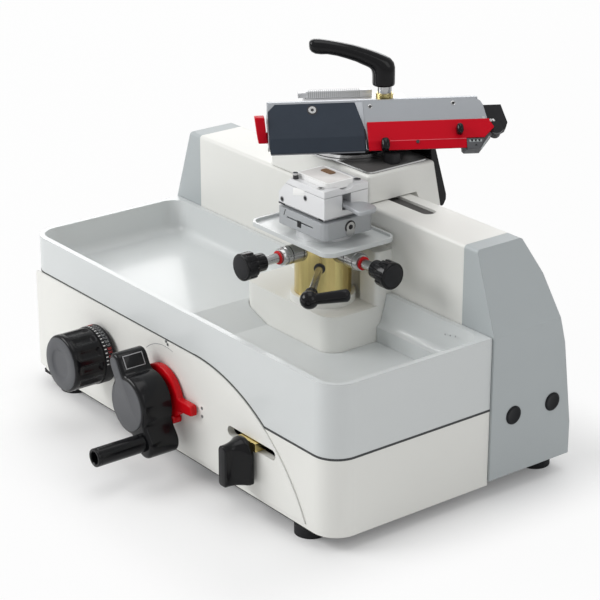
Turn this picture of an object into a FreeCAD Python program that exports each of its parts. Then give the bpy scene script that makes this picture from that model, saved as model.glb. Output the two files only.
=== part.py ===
import FreeCAD, Part
import math
import os
import re
import Sketcher

# Sledge microtome: a bench instrument that slices a fixed specimen with a blade carried on a sliding
# saddle. X runs along the slideway, +Y points to the back, +Z points up, and the origin lies on the
# bench under the middle of the outer box. Most pieces are drawn in a working frame whose Y zero is the
# front face of the waste tray, and each piece's Placement carries it from there to the origin.

os.makedirs("parts", exist_ok=True)
doc = FreeCAD.newDocument("SledgeMicrotome")
sheet = doc.addObject("Spreadsheet::Sheet", "Sizes")

SIZES = {
    # whole machine
    "front_setback": -104.17, "overrun": 1.0, "running_fit": 0.08, "sliding_gap": 0.3, "seam_groove": 0.4,
    # base housing and its front control panel
    "tray_length": 430.0, "tray_depth": 159.6, "corner_round": 22.0, "base_bottom": 12.0,
    "base_wall": 5.0, "seam_step": 28.0, "seam_turn": 37.0, "panel_thick": 1.2, "panel_bottom": 16.0,
    "arch_margin": 54.5, "panel_round": 3.0, "plate_thick": 4.0, "plate_margin": 9.0,
    # rubber feet
    "foot_radius": 13.2, "foot_front_inset": 14.0, "foot_rear_inset": 12.0, "foot_side_inset": 43.0,
    "foot_far_side_inset": 25.0, "foot_waist": 9.0, "foot_tread": 7.5,
    # waste tray
    "rim_height": 140.0, "rim_width": 5.0, "tray_skin": 4.0, "tray_low_deep": 28.0,
    "well_deep": 12.0, "step_inset": 1.0, "step_run": 34.0, "well_lean": 14.0, "cove_round": 10.0,
    # column pedestal
    "pedestal_left_run": 75.0, "pedestal_right_run": 44.0, "pedestal_deep": 64.5,
    "pedestal_drop": 55.0, "pedestal_round": 14.0, "pedestal_wall": 5.0, "chamber_tall": 70.0,
    "guide_deep": 16.0, "guide_tall": 47.0, "guide_groove": 31.0, "guide_round": 4.0,
    "collar_wall": 3.4, "collar_tall": 7.0,
    # slideway housing and end panels
    "housing_inset": 36.0, "housing_top": 207.0, "housing_wall": 6.0, "ridge_margin": 18.5,
    "shoulder_run": 15.0, "shoulder_drop": 30.0, "waist_run": 16.0, "waist_drop": 60.0,
    "heel_run": 9.5, "heel_height": 44.0, "housing_edge": 3.0, "panel_proud": 2.0,
    "panel_top_inset": 21.0, "plug_radius": 7.0, "plug_proud": 1.2, "plug_depth": 6.0,
    "plug_near_run": 23.7, "plug_far_run": 66.4, "plug_height": 68.0,
    # slideway slot and rail
    "slot_half": 102.5, "slot_radius": 6.5, "slot_run": 28.5, "rail_drop": 2.2, "rail_thick": 9.0,
    "bridge_half": 10.0, "bridge_thick": 8.0, "bridge_post": 24.0, "bridge_span": 130.0,
    # sledge
    "sledge_middle": -5.5, "sledge_length": 133.0, "sledge_clear": 1.0, "sledge_tall": 24.0,
    "skirt_flare": 9.0, "skirt_land": 19.5, "skirt_drop": 16.5, "skirt_slope": 7.5,
    "skirt_clear": 5.0, "sledge_wall": 5.0, "sledge_roof": 15.0, "sledge_edge": 2.5,
    "top_plate_thick": 2.0, "top_plate_inset": 2.8, "top_plate_round": 5.0, "carriage_half": 20.0,
    "carriage_width": 12.2,
    # rear grip of the sledge
    "grip_left": 2.0, "grip_long": 57.0, "grip_top_run": 3.5, "grip_bulge_run": 8.0,
    "grip_bulge_rise": 7.5, "grip_hang": 3.0, "grip_neck_run": 3.5, "grip_round": 2.2,
    # swivel and knife base
    "swivel_x": -3.0, "swivel_offset": 3.5, "knife_angle": 58.6, "swivel_radius": 36.7,
    "swivel_core": 32.6, "pivot_radius": 6.0, "pivot_depth": 12.0, "swivel_ring_rise": 5.0,
    "swivel_rise": 9.0, "lock_block_x": 42.0, "lock_block_offset": 1.5, "lock_block_wide": 13.0,
    "lock_block_deep": 10.0, "lock_block_tall": 8.4, "base_left": 38.0, "base_right": 48.0,
    "base_front": 7.0, "base_rear": 24.0, "base_tall": 31.5, "base_edge": 3.0, "bar_left": 43.0,
    "bar_right": 20.0, "bar_front": 12.0, "bar_deep": 6.0, "bar_tall": 6.3,
    # knife clamp lever
    "stud_offset": 29.0, "knife_stud": 6.0, "knife_stud_tip": 4.5, "seat_radius": 8.5,
    "seat_rise": 1.8, "brass_radius": 7.4, "brass_tall": 5.5, "hub_rise": 14.0, "hub_radius": 8.4,
    "hub_tall": 22.5, "stud_sink": 8.0, "arm_reach": 64.0, "arm_rise": 19.0, "arm_tip": 12.0,
    "arm_half": 6.0, "arm_round": 3.4,
    # blade holder
    "edge_reach": 43.4, "edge_rise": 3.0, "face_lean": 50.0, "face_width": 42.7,
    "face_plate_thick": 4.0, "holder_left": 71.5, "holder_right": 106.0, "holder_split": 8.1,
    "holder_rise": 1.0, "crease_width": 12.0, "crease_drop": 2.4, "face_chamfer": 6.0,
    "silver_right": 113.5, "silver_slant": 4.1, "silver_round": 6.0, "silver_low": 15.0,
    "guard_left": 10.0, "guard_right": 116.3, "guard_width": 22.5, "guard_skin": 2.4,
    "guard_fold": 6.0, "guard_lip": 1.5, "guard_tip_rise": 15.7, "guard_top_cut": 3.3,
    "guard_pin": 3.1, "guard_pin_reach": 6.0, "guard_near_pin": 13.2, "guard_near_rise": 5.4,
    "guard_far_pin": 29.5, "guard_far_rise": 16.5,
    "blade_wide": 8.0, "blade_thick": 0.3, "blade_tip": 1.0, "corner_block_left": 88.8,
    "corner_block_low": 6.4, "corner_block_nib": 2.4, "corner_block_foot": 14.5,
    "corner_block_long": 25.2, "corner_block_wide": 12.0, "corner_block_deep": 9.0,
    "corner_boss_left": 3.5, "corner_boss_right": 18.2, "corner_boss_top": 6.4,
    "corner_boss_proud": 2.2,
    "end_block_gap": 0.5, "end_block_long": 23.0, "end_block_tall": 26.0, "end_block_low": 12.5,
    "end_block_cut": 9.5, "end_block_slant": 4.2, "end_block_deep": 8.5, "end_knob_radius": 5.2,
    "end_knob_inset": 10.4, "end_knob_rise": 4.0,
    "release_gap": 2.5, "release_wide": 8.5, "release_deep": 9.0, "release_rise": 3.0,
    "release_tall": 22.5, "release_n": 20.0, "release_pin": 2.6, "release_pin_rise": 6.0,
    "screw_radius": 3.0, "screw_proud": 0.8, "face_screw_inset": 6.0,
    # specimen column with its two tilting spindles and its lock
    "column_x": 48.0, "column_inset": 37.0, "column_radius": 23.7, "head_stack": 60.0,
    "column_bottom": 94.0, "bore_stop": 28.0, "head_cavity": 11.5, "head_deep": 16.0,
    "spindle_drop": 9.5, "spindle_start": 12.5, "spindle_big": 7.8, "spindle_mid": 5.2,
    "spindle_thin": 4.0, "front_big_end": 40.0, "front_mid_end": 46.5, "front_knob_start": 61.4,
    "right_big_end": 46.0, "right_mid_end": 52.5, "right_knob_start": 67.0, "knob_neck": 7.5,
    "knob_neck_long": 11.0, "knob_head": 11.3, "knob_head_long": 11.5, "knob_flute": 1.5,
    "lock_drop": 21.0, "lock_turn": 45.0, "lock_stud": 3.1, "lock_reach": 92.0, "lock_ball": 7.4,
    "lock_neck": 5.2, "lock_neck_long": 14.0, "lock_arm_long": 37.0, "lock_arm": 4.1,
    "lock_arm_tip": 5.0, "lock_arm_angle": 10.0,
    # tilting head, drip tray and specimen clamp, measured from the column's axis
    "tilt_drop": 8.0, "yoke_radius": 9.0, "yoke_half": 2.0, "yoke_pin": 1.3,
    "yoke_wall": 4.0, "tongue_x": 3.0, "tongue_y": 2.0, "post_radius": 6.0,
    "drip_left": 52.0, "drip_right": 54.0, "drip_front": 38.0, "drip_rear": 34.5,
    "drip_lift": 2.7, "drip_skin": 1.5, "drip_rim": 2.2, "drip_rise": 2.2, "drip_round": 10.0,
    "turntable_radius": 24.0, "clamp_shift_x": 6.2, "clamp_shift_y": -3.0,
    "clamp_long": 62.5, "clamp_deep": 51.0, "clamp_lift": 7.7, "clamp_tall": 14.6,
    "clamp_round": 5.0, "clamp_neck_inset": 7.0, "clamp_neck_rise": 1.7, "key_slot_rise": 8.0,
    "key_slot_tall": 1.2, "key_slot_left": -11.5, "key_slot_right": 22.5, "key_slot_deep": 3.0,
    "key_square": 5.0, "key_square_x": 4.8, "vise_left": 26.0, "vise_right": 34.0,
    "vise_front": 25.7, "vise_rear": 19.0, "vise_tall": 24.3, "vise_cover": 5.6,
    "vise_chamfer": 15.0, "vise_slot_front": 7.5, "vise_slot_rear": 1.3, "vise_slot_drop": 19.0,
    "vise_slot_deep": 14.0, "thumb_radius": 10.0, "thumb_depth": 3.0, "thumb_long": 14.0,
    "cassette_left": 11.0, "cassette_front": 19.0, "cassette_long": 40.0, "cassette_deep": 28.0,
    "cassette_sink": 2.0, "cassette_tall": 6.0, "cassette_round": 3.0, "tissue_long": 13.0,
    "tissue_deep": 6.0, "tissue_tall": 1.0, "tissue_x": 5.0, "tissue_y": 1.0,
    "paddle_rise": 2.2, "paddle_thick": 4.0, "paddle_root": 12.0, "paddle_reach": 20.5,
    "paddle_wide": 18.5, "paddle_play": 0.5, "paddle_gap": 3.0, "paddle_pin": 1.5,
    "paddle_pin_reach": 5.0, "paddle_round": 4.0, "hex_radius": 4.4,
    "hex_proud": 0.8, "cap_radius": 3.0, "cap_proud": 0.7, "pin_radius": 2.2, "pin_tall": 5.0,
    # feed crank, its shafts and the feed screw
    "cross_reach": 51.0, "crank_z": 59.0, "crank_back": 12.0, "crank_depth": 28.0,
    "crank_radius": 25.0, "lobe_half": 8.0, "lobe_reach": 36.0, "upper_lobe_angle": 119.0,
    "lower_lobe_angle": -51.4, "lower_lobe_half": 11.0, "grip_circle": 33.0,
    "crank_round": 3.0, "face_inset": 1.6, "face_rise": 0.8, "handle_radius": 7.8,
    "handle_long": 46.0, "handle_bore": 5.2, "handle_open": 30.0, "handle_pin": 3.0,
    "crank_shaft": 6.0, "cross_shaft": 5.0, "bevel_big": 11.6, "bevel_small": 5.6,
    "bevel_far": 12.0, "bevel_near": 6.0, "feed_screw_radius": 6.5, "screw_foot": 24.0,
    "screw_foot_half": 16.0, "screw_stop": 8.0, "journal_clear": 4.0, "bearing_half": 3.0,
    "bearing_width": 10.0,
    # red mode ring behind the crank
    "ring_back": 4.6, "ring_thick": 6.0, "ring_radius": 31.0, "tab_reach": 49.0,
    "tab_half": 6.0, "tab_angle": 9.0, "ring_pin": 3.2, "ring_pin_angle": -46.0,
    # thickness knob with its graduated drum
    "thick_x": -98.5, "thick_z": 64.0, "drum_back": 4.6, "drum_depth": 9.5, "drum_radius": 25.4,
    "thick_radius": 24.9, "thick_depth": 29.5, "thick_flute": 2.4, "thick_shaft": 5.0,
    "thick_shaft_in": 56.0,
    # sliding selector lever in its slot
    "selector_x": 110.0, "selector_slot_left": 83.5, "selector_slot_right": 146.5,
    "selector_drop": 20.0, "selector_slot": 4.3, "selector_back": 4.6, "selector_foot": 4.5,
    "selector_dome": 14.0, "selector_dome_z": -9.0, "selector_hang": 30.0,
    "selector_ridge_half": 3.4, "selector_ridge_reach": 29.0, "selector_ridge_top": 2.0,
    "brass_slide_left": 7.0, "brass_slide_right": 15.0,
    "brass_slide_half": 3.6, "brass_slide_in": 16.0, "brass_tail": 9.0,
}

# Places that follow from the sizes above. A later line may use an earlier one.
PLACES = {
    "half_tray": "(tray_length / 2)",
    "wall": "(tray_depth + seam_groove)",
    "plate_top": "(base_bottom + plate_thick)",
    "left_floor": "(rim_height - tray_low_deep)",
    "right_floor": "(left_floor - well_deep)",
    "seam_high": "(left_floor - tray_skin - overrun)",
    "seam_low": "(seam_high - seam_step)",
    "selector_z": "(seam_low - selector_drop)",
    "panel_left": "(half_tray - plate_margin)",
    "arch_radius": "(selector_slot_right - seam_turn + arch_margin)",
    "column_y": "(wall - column_inset)",
    "crank_x": "(column_x - cross_reach)",
    "pedestal_left": "(column_x - pedestal_left_run)",
    "pedestal_right": "(column_x + pedestal_right_run)",
    "pedestal_front": "(wall - pedestal_deep)",
    "guide_front": "(wall - guide_deep)",
    "step_top": "(pedestal_left + step_inset)",
    "slot_line": "(wall + slot_run)",
    "ridge_back": "(slot_line + ridge_margin)",
    "shoulder_back": "(ridge_back + shoulder_run)",
    "waist_back": "(shoulder_back + waist_run)",
    "heel_back": "(waist_back + heel_run)",
    "shoulder_height": "(housing_top - shoulder_drop)",
    "waist_height": "(shoulder_height - waist_drop)",
    "foot_rear": "(heel_back - foot_rear_inset)",
    "plug_front": "(wall + plug_near_run)",
    "plug_rear": "(wall + plug_far_run)",
    "housing_seam": "(half_tray - housing_inset)",
    "panel_out": "(half_tray + panel_proud)",
    "panel_top_out": "(half_tray - panel_top_inset)",
    "sledge_left": "(sledge_middle - sledge_length / 2)",
    "sledge_right": "(sledge_middle + sledge_length / 2)",
    "sledge_bottom": "(housing_top + sledge_clear)",
    "sledge_top": "(sledge_bottom + sledge_tall)",
    "plate_face": "(sledge_top + top_plate_thick)",
    "skirt_shoulder": "(ridge_back + skirt_clear)",
    "skirt_inner": "(skirt_shoulder + skirt_slope)",
    "skirt_back": "(skirt_inner + skirt_land)",
    "sledge_back": "(skirt_back - skirt_flare)",
    "skirt_bottom": "(housing_top - skirt_drop)",
    "knife_floor": "(plate_face + swivel_rise)",
    "grip_right": "(grip_left + grip_long)",
    "grip_top": "(knife_floor - seam_groove)",
    "grip_top_back": "(sledge_back + grip_top_run)",
    "grip_bulge": "(skirt_back + grip_bulge_run)",
    "grip_bulge_height": "(skirt_bottom + grip_bulge_rise)",
    "grip_bottom": "(skirt_bottom - grip_hang)",
    "grip_neck": "(sledge_back - grip_neck_run)",
    "swivel_y": "(slot_line + swivel_offset)",
    "lock_block_y": "(slot_line + lock_block_offset)",
    "base_top": "(knife_floor + base_tall)",
    "hub_bottom": "(base_top + hub_rise)",
    "hub_top": "(hub_bottom + hub_tall)",
    "stud_top": "(hub_top - stud_sink)",
    "arm_lift": "(hub_top + arm_rise)",
    "edge_height": "(knife_floor + edge_rise)",
    "holder_bottom": "(edge_height + holder_rise)",
    "release_bottom": "(edge_height + release_rise)",
    "column_top": "(edge_height - head_stack)",
    "column_bore_top": "(column_top - bore_stop)",
    "screw_top": "(column_bore_top - screw_stop)",
    "head_floor": "(column_top - head_deep)",
    "spindle_height": "(column_top - spindle_drop)",
    "lock_height": "(column_top - lock_drop)",
    "tilt_height": "(column_top - tilt_drop)",
    "pedestal_top": "(column_top - pedestal_drop)",
    "collar_top": "(pedestal_top + collar_tall)",
    "guide_top": "(pedestal_top + guide_tall)",
    "chamber_top": "(plate_top + chamber_tall)",
    "drip_bottom": "(column_top + drip_lift)",
    "clamp_bottom": "(drip_bottom + clamp_lift)",
    "key_slot_z": "(clamp_bottom + key_slot_rise)",
    "vise_top": "(clamp_bottom + clamp_tall + clamp_neck_rise + vise_tall)",
    "vise_slot_low": "(vise_top - vise_slot_drop)",
    "paddle_low": "(vise_slot_low + paddle_rise)",
}

# Shares: how far along, up and down the clamp lever's outline each corner lies, as shares of the
# arm's reach, of its rise and of its tip; then where screws and flutes lie on what carries them.
ARM_SHARES = ((0.3, 0.52, 0.0), (0.65, 0.84, 0.0))
ARM_UNDER_SHARES = ((0.5, 0.7, 1.1), (0.25, 0.0, 0.55))
ARM_TIP_SHARES = (0.75, 1.15)
FACE_SCREW_SHARES = (0.86, 0.93, 0.9)
FLUTE_SHARE = 0.72
THICK_FLUTE_SHARES = (0.12, 0.7)
KEY_SHARE = 0.8

# counts, which are not lengths
KNOB_FLUTES = 10
THICKNESS_FLUTES = 12

for row, (alias, number) in enumerate(SIZES.items(), start=1):
    sheet.set(f"A{row}", alias)
    sheet.set(f"B{row}", str(number))
    sheet.setAlias(f"B{row}", alias)
doc.recompute()

worked = doc.addObject("Spreadsheet::Sheet", "Worked")
NODES = []
WORD = re.compile(r"[a-z][a-z_0-9]*")


def spelled(word):
    """Return what one word of a formula stands for: a place, a cell or itself."""
    name = word.group()
    if name in PLACES:
        return WORD.sub(spelled, PLACES[name])
    return "Sizes." + name if name in SIZES else name


def tied(formula):
    """Return an expression in which places are spelled out and sizes point at their cells."""
    return WORD.sub(spelled, formula)


def size(name):
    """Return the present value of a size or a place as a plain number."""
    worked.set("D1", "=" + tied(name))
    worked.recompute()
    return float(worked.get("D1"))


def worked_out(points):
    """Return the present places of corners written as pairs of formulas."""
    for row, corner in enumerate(points, start=1):
        for column, formula in zip("AB", corner):
            worked.set(f"{column}{row}", "=" + tied(formula))
    worked.recompute()
    return [FreeCAD.Vector(float(worked.get(f"A{row}")), float(worked.get(f"B{row}")), 0)
            for row in range(1, len(points) + 1)]


def bind(thing, **formulas):
    """Bind properties of a document object to formulas written in size names."""
    for name, formula in formulas.items():
        thing.setExpression(name.replace("__", "."), tied(formula))


def put(thing, at):
    """Bind the three coordinates of an object's place."""
    bind(thing, Placement__Base__x=at[0], Placement__Base__y=at[1], Placement__Base__z=at[2])


TURNS = {
    "x": FreeCAD.Rotation(FreeCAD.Vector(0, 1, 0), 90),
    "y": FreeCAD.Rotation(FreeCAD.Vector(1, 0, 0), -90),
    "z": FreeCAD.Rotation(),
}


def box(name, at, extent):
    """Return a box from its lowest corner and its three extents."""
    block = doc.addObject("Part::Box", name)
    bind(block, Length=extent[0], Width=extent[1], Height=extent[2])
    put(block, at)
    return block


def rod(name, at, radius, length, axis="z"):
    """Return a cylinder that starts at a point and runs along an axis."""
    bar = doc.addObject("Part::Cylinder", name)
    bar.Placement = FreeCAD.Placement(FreeCAD.Vector(), TURNS[axis])
    bind(bar, Radius=radius, Height=length)
    put(bar, at)
    return bar


def cone(name, at, start_radius, end_radius, length, axis="z"):
    """Return a cone that starts at a point and runs along an axis."""
    taper = doc.addObject("Part::Cone", name)
    taper.Placement = FreeCAD.Placement(FreeCAD.Vector(), TURNS[axis])
    bind(taper, Radius1=start_radius, Radius2=end_radius, Height=length)
    put(taper, at)
    return taper


def ball(name, at, radius):
    """Return a sphere about a point."""
    sphere = doc.addObject("Part::Sphere", name)
    bind(sphere, Radius=radius)
    put(sphere, at)
    return sphere


def join(name, *pieces):
    """Return the union of several objects."""
    union = doc.addObject("Part::MultiFuse", name)
    union.Shapes = list(pieces)
    union.Refine = True
    return union


def cut(name, base, *tools):
    """Return a base with one or more tools cut out of it."""
    tool = tools[0] if len(tools) == 1 else join(name + "_tools", *tools)
    result = doc.addObject("Part::Cut", name)
    result.Base = base
    result.Tool = tool
    result.Refine = True
    return result


def common(name, first, second):
    """Return what two objects share."""
    result = doc.addObject("Part::Common", name)
    result.Base = first
    result.Tool = second
    return result


PLANES = {"xy": "XY_Plane", "xz": "XZ_Plane", "yz": "YZ_Plane"}


def prism(name, plane, points, start, depth, lean=None):
    """Return a body padded from an outline drawn on a plane.

    Args:
        name: the body's name.
        plane: xy, xz or yz, the plane that the outline lies in.
        points: the corners, each a pair of formulas along the plane's two letters.
        start: where the pad starts along the third axis.
        depth: how far it runs towards the positive end of that axis.
        lean: an outward lean of the sides in degrees, or None.
    """
    body = doc.addObject("PartDesign::Body", name)
    sketch = body.newObject("Sketcher::SketchObject", name + "_outline")
    role = PLANES[plane]
    sketch.AttachmentSupport = [(next(f for f in body.Origin.OriginFeatures if f.Role == role), "")]
    sketch.MapMode = "FlatFace"
    sign = "-1 * " if plane == "xz" else ""
    sketch.setExpression(".AttachmentOffset.Base.z", tied(f"{sign}({start})"))
    places = worked_out(points)
    count = len(places)
    for index, place in enumerate(places):
        sketch.addGeometry(Part.LineSegment(place, places[(index + 1) % count]), False)
    for index in range(count):
        sketch.addConstraint(Sketcher.Constraint("Coincident", index, 2, (index + 1) % count, 1))
    for index, (across, along) in enumerate(points):
        for kind, formula, now in (("DistanceX", across, places[index].x),
                                   ("DistanceY", along, places[index].y)):
            number = sketch.addConstraint(Sketcher.Constraint(kind, -1, 1, index, 1, now))
            sketch.setExpression(f"Constraints[{number}]", tied(formula))
    pad = body.newObject("PartDesign::Pad", name + "_pad")
    pad.Profile = sketch
    pad.Reversed = plane == "xz"
    bind(pad, Length=depth)
    if lean:
        bind(pad, TaperAngle=lean)
    return body


def soften(body, radius, chosen):
    """Round the chosen edges of a body's last feature."""
    doc.recompute()
    last = body.Tip
    edges = [f"Edge{index}" for index, edge in enumerate(last.Shape.Edges, start=1) if chosen(edge)]
    if not edges:
        raise RuntimeError(f"no edges to round on {body.Name}")
    fillet = body.newObject("PartDesign::Fillet", f"{body.Name}_round{len(body.Group)}")
    fillet.Base = (last, edges)
    bind(fillet, Radius=radius)
    return body


def along(axis):
    """Return a test for straight edges that run along one axis."""
    place = "xyz".index(axis)

    def test(edge):
        """Say whether an edge is straight and runs along the axis."""
        if not isinstance(edge.Curve, Part.Line):
            return False
        return abs(tuple(edge.Curve.Direction)[place]) > math.cos(math.radians(1))

    return test


def middle(edge):
    """Return the middle of an edge's box."""
    return edge.BoundBox.Center


def slab(name, plane, low, high, start, depth, corner, near=None):
    """Return a rectangular pad with its corners rounded.

    Args:
        near: a place along Y, where only the corners in front of it are rounded, or None for all.
    """
    points = [(low[0], low[1]), (high[0], low[1]), (high[0], high[1]), (low[0], high[1])]
    body = prism(name, plane, points, start, depth)
    straight = along(({"x", "y", "z"} - set(plane)).pop())
    if near is None:
        return soften(body, corner, straight)
    return soften(body, corner, lambda edge: straight(edge) and middle(edge).y < size(near))


def obround(name, plane, low, high, line, radius, start, depth):
    """Return a slot shape with round ends, from two end centres on a line."""
    third = ({"x", "y", "z"} - set(plane)).pop()
    spot = {plane[0]: low, plane[1]: line, third: start}
    other = {plane[0]: high, plane[1]: line, third: start}
    corner = {plane[0]: low, plane[1]: f"({line}) - ({radius})", third: start}
    extent = {plane[0]: f"({high}) - ({low})", plane[1]: f"2 * ({radius})", third: depth}
    first = rod(name + "_end1", [spot[a] for a in "xyz"], radius, depth, third)
    second = rod(name + "_end2", [other[a] for a in "xyz"], radius, depth, third)
    web = box(name + "_web", [corner[a] for a in "xyz"], [extent[a] for a in "xyz"])
    return join(name, first, second, web)


# Seats: where each group's working frame lies on the machine.
TURN_NONE = "rotation(vector(0; 0; 1); 0)"
TURN_FRONT = "rotation(vector(1; 0; 0); 90)"
TURN_KNIFE = "rotation(vector(0; 0; 1); knife_angle)"
TURN_FACE = TURN_KNIFE + " * rotation(vector(1; 0; 0); face_lean)"
TURN_LOCK = "rotation(vector(0; 0; 1); -1 * lock_turn)"
SEATS = {
    "machine": ("0", "front_setback", "0", TURN_NONE),
    "column": ("column_x", "column_y + front_setback", "0", TURN_NONE),
    "lock": ("column_x", "column_y + front_setback", "0", TURN_LOCK),
    "crank": ("crank_x", "front_setback", "crank_z", TURN_FRONT),
    "thickness": ("thick_x", "front_setback", "thick_z", TURN_FRONT),
    "selector": ("selector_x", "front_setback", "selector_z", TURN_FRONT),
    "knife": ("swivel_x", "swivel_y + front_setback", "0", TURN_KNIFE),
    "face": ("swivel_x + edge_reach * sin(knife_angle)",
             "swivel_y + front_setback - edge_reach * cos(knife_angle)", "edge_height", TURN_FACE),
}


def node(thing, name, seat="machine"):
    """Label a finished sub-part, seat it on the machine and list it."""
    across, back, height, turn = SEATS[seat]
    thing.Label = name
    thing.setExpression("Placement", tied(f"placement(vector({across}; {back}; {height}); {turn})"))
    NODES.append(thing)
    return thing


def pedestal_gap(name, bottom, top):
    """Return the block that clears the pedestal out of the tray or the base."""
    low = ("pedestal_left - seam_groove", "pedestal_front - seam_groove")
    high = ("pedestal_right + seam_groove", "wall + 2 * pedestal_round")
    return slab(name, "xy", low, high, bottom, f"({top}) - ({bottom})", "pedestal_round")


def front_holes(name, start, depth):
    """Return the holes that the crank, the thickness shaft and the selector need in a front wall."""
    crank = rod(name + "_crank", ("crank_x", start, "crank_z"), "crank_shaft + running_fit", depth, "y")
    thick = rod(name + "_thick", ("thick_x", start, "thick_z"), "thick_shaft + running_fit", depth, "y")
    slot = obround(name + "_slot", "xz", "selector_slot_left + selector_slot",
                   "selector_slot_right - selector_slot", "selector_z", "selector_slot", start, depth)
    return crank, thick, slot


def make_base():
    """Make the white lower housing, its control panel, the base plate and the feet."""
    low = slab("base_low", "xy", ("-1 * half_tray", "0"), ("half_tray", "tray_depth"), "base_bottom",
               "seam_low - base_bottom", "corner_round", "tray_depth / 2")
    high = slab("base_high", "xy", ("-1 * half_tray", "0"),
                ("seam_turn + corner_round", "tray_depth"), "base_bottom", "seam_high - base_bottom",
                "corner_round", "tray_depth / 2")
    trim = box("base_trim", ("seam_turn", "-1 * overrun", "seam_low"),
               ("corner_round + 2 * overrun", "tray_depth + 2 * overrun", "seam_high"))
    shell = cut("base_shell", join("base_outer", low, high), trim)
    hollow = slab("base_hollow", "xy", ("base_wall - half_tray", "base_wall"),
                  ("half_tray - base_wall", "tray_depth - base_wall"), "base_bottom - overrun",
                  "seam_low - base_wall - base_bottom + overrun", "corner_round - base_wall")
    attic = slab("base_attic", "xy", ("base_wall - half_tray", "base_wall"),
                 ("seam_turn - base_wall", "tray_depth - base_wall"), "base_bottom",
                 "seam_high - base_bottom + overrun", "corner_round - base_wall")
    bay = box("base_bay", ("seam_turn - 2 * corner_round", "base_wall", "seam_low"),
              ("2 * corner_round + overrun", "tray_depth - 2 * base_wall", "seam_high - seam_low + overrun"))
    gap = pedestal_gap("base_gap", "base_bottom - overrun", "seam_high + overrun")
    holes = front_holes("base_hole", "-1 * overrun", "base_wall + 2 * overrun")
    tray_seat = box("base_seat_gap", ("plate_margin - seam_groove - half_tray", "tray_depth / 2",
                                      "base_bottom - overrun"),
                    ("tray_length - 2 * plate_margin + 2 * seam_groove", "tray_depth",
                     "plate_thick + seam_groove + overrun"))
    node(cut("base_housing", shell, hollow, attic, bay, gap, tray_seat, *holes), "base_housing")

    sheet_plate = slab("panel_sheet", "xz", ("-1 * panel_left", "panel_bottom"),
                       ("seam_turn + arch_radius", "seam_high"), "-1 * panel_thick", "panel_thick",
                       "panel_round")
    arch = rod("panel_arch", ("seam_turn", "-1 * panel_thick", "seam_high - arch_radius"),
               "arch_radius", "panel_thick", "y")
    flat = box("panel_flat", ("-1 * panel_left", "-1 * panel_thick", "panel_bottom"),
               ("panel_left + seam_turn", "panel_thick", "seam_high - panel_bottom"))
    curved = common("panel_curved", sheet_plate, join("panel_field", arch, flat))
    holes = front_holes("panel_hole", "-1 * panel_thick - overrun", "panel_thick + 2 * overrun")
    node(cut("front_panel", curved, *holes), "front_panel")

    low = ("plate_margin - half_tray", "plate_margin")
    high = ("half_tray - plate_margin", "heel_back - base_wall")
    node(slab("base_plate", "xy", low, high, "base_bottom", "plate_thick", "corner_round - plate_margin"),
         "base_plate")

    feet = []
    rows = (("foot_front_inset", "foot_side_inset"), ("foot_rear", "foot_far_side_inset"))
    for place, (side, (back, inset)) in enumerate((side, row) for side in ("-1", "1") for row in rows):
        across = f"{side} * (half_tray - {inset})"
        tread = rod(f"foot_tread{place}", (across, back, "0"), "foot_radius", "foot_tread")
        waist = cone(f"foot_waist{place}", (across, back, "foot_tread"), "foot_radius", "foot_waist",
                     "base_bottom - foot_tread")
        feet += [tread, waist]
    node(join("rubber_feet", *feet), "rubber_feet")


def make_tray():
    """Make the grey waste tray with its shallow left floor and its deeper right well."""
    high = slab("tray_block", "xy", ("-1 * half_tray", "0"), ("half_tray", "tray_depth"), "seam_low",
                "rim_height - seam_low", "corner_round", "tray_depth / 2")
    step = box("tray_step", ("-1 * half_tray - overrun", "-1 * overrun", "seam_low - overrun"),
               ("half_tray + overrun + seam_turn", "tray_depth + 2 * overrun",
                "seam_high - seam_low + overrun"))
    tub = box("tray_tub", ("step_top - cove_round", "base_wall + seam_groove", "right_floor - tray_skin"),
              ("seam_turn + tray_skin - step_top + cove_round",
               "tray_depth - 2 * base_wall - 2 * seam_groove",
               "seam_high + overrun - right_floor + tray_skin"))
    under = slab("tray_under", "xy", ("seam_turn + tray_skin", "tray_skin"),
                 ("half_tray - tray_skin", "tray_depth - tray_skin"), "seam_low - overrun",
                 "right_floor - tray_skin - seam_low + overrun", "corner_round - tray_skin")
    lean_run = "(rim_height - left_floor) * tan(well_lean)"
    low = (f"rim_width + {lean_run} - half_tray", f"rim_width + {lean_run}")
    far = (f"half_tray - rim_width - {lean_run}", f"tray_depth - rim_width - {lean_run}")
    upper = prism("tray_upper", "xy", [(low[0], low[1]), (far[0], low[1]), (far[0], far[1]),
                                       (low[0], far[1])], "left_floor",
                  "rim_height - left_floor + overrun", "well_lean")
    soften(upper, "corner_round - rim_width", lambda edge: abs(edge.tangentAt(edge.FirstParameter).z) > 0.5)
    soften(upper, "cove_round", lambda edge: edge.BoundBox.ZMax < size("left_floor") + size("running_fit"))
    well_run = "(left_floor - right_floor) * tan(well_lean)"
    near = ("step_top + step_run", f"{low[1]} + {well_run}")
    deep = (f"{far[0]} - {well_run}", f"{far[1]} - {well_run}")
    points = [("step_top", "left_floor + cove_round"), (far[0], "left_floor + cove_round"),
              (deep[0], "right_floor"), (near[0], "right_floor"), ("step_top", "left_floor")]
    well = prism("tray_well", "xz", points, near[1], f"({deep[1]}) - ({near[1]})")
    soften(well, "cove_round", lambda edge: along("y")(edge)
           and edge.BoundBox.ZMax < size("right_floor") + size("running_fit")
           and edge.BoundBox.XMax > size("column_x"))
    gap = pedestal_gap("tray_gap", "seam_low - overrun", "rim_height + overrun")
    solid = join("tray_solid", cut("tray_stepped", high, step, under), tub)
    node(cut("waste_tray", solid, upper, well, gap), "waste_tray")


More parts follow.
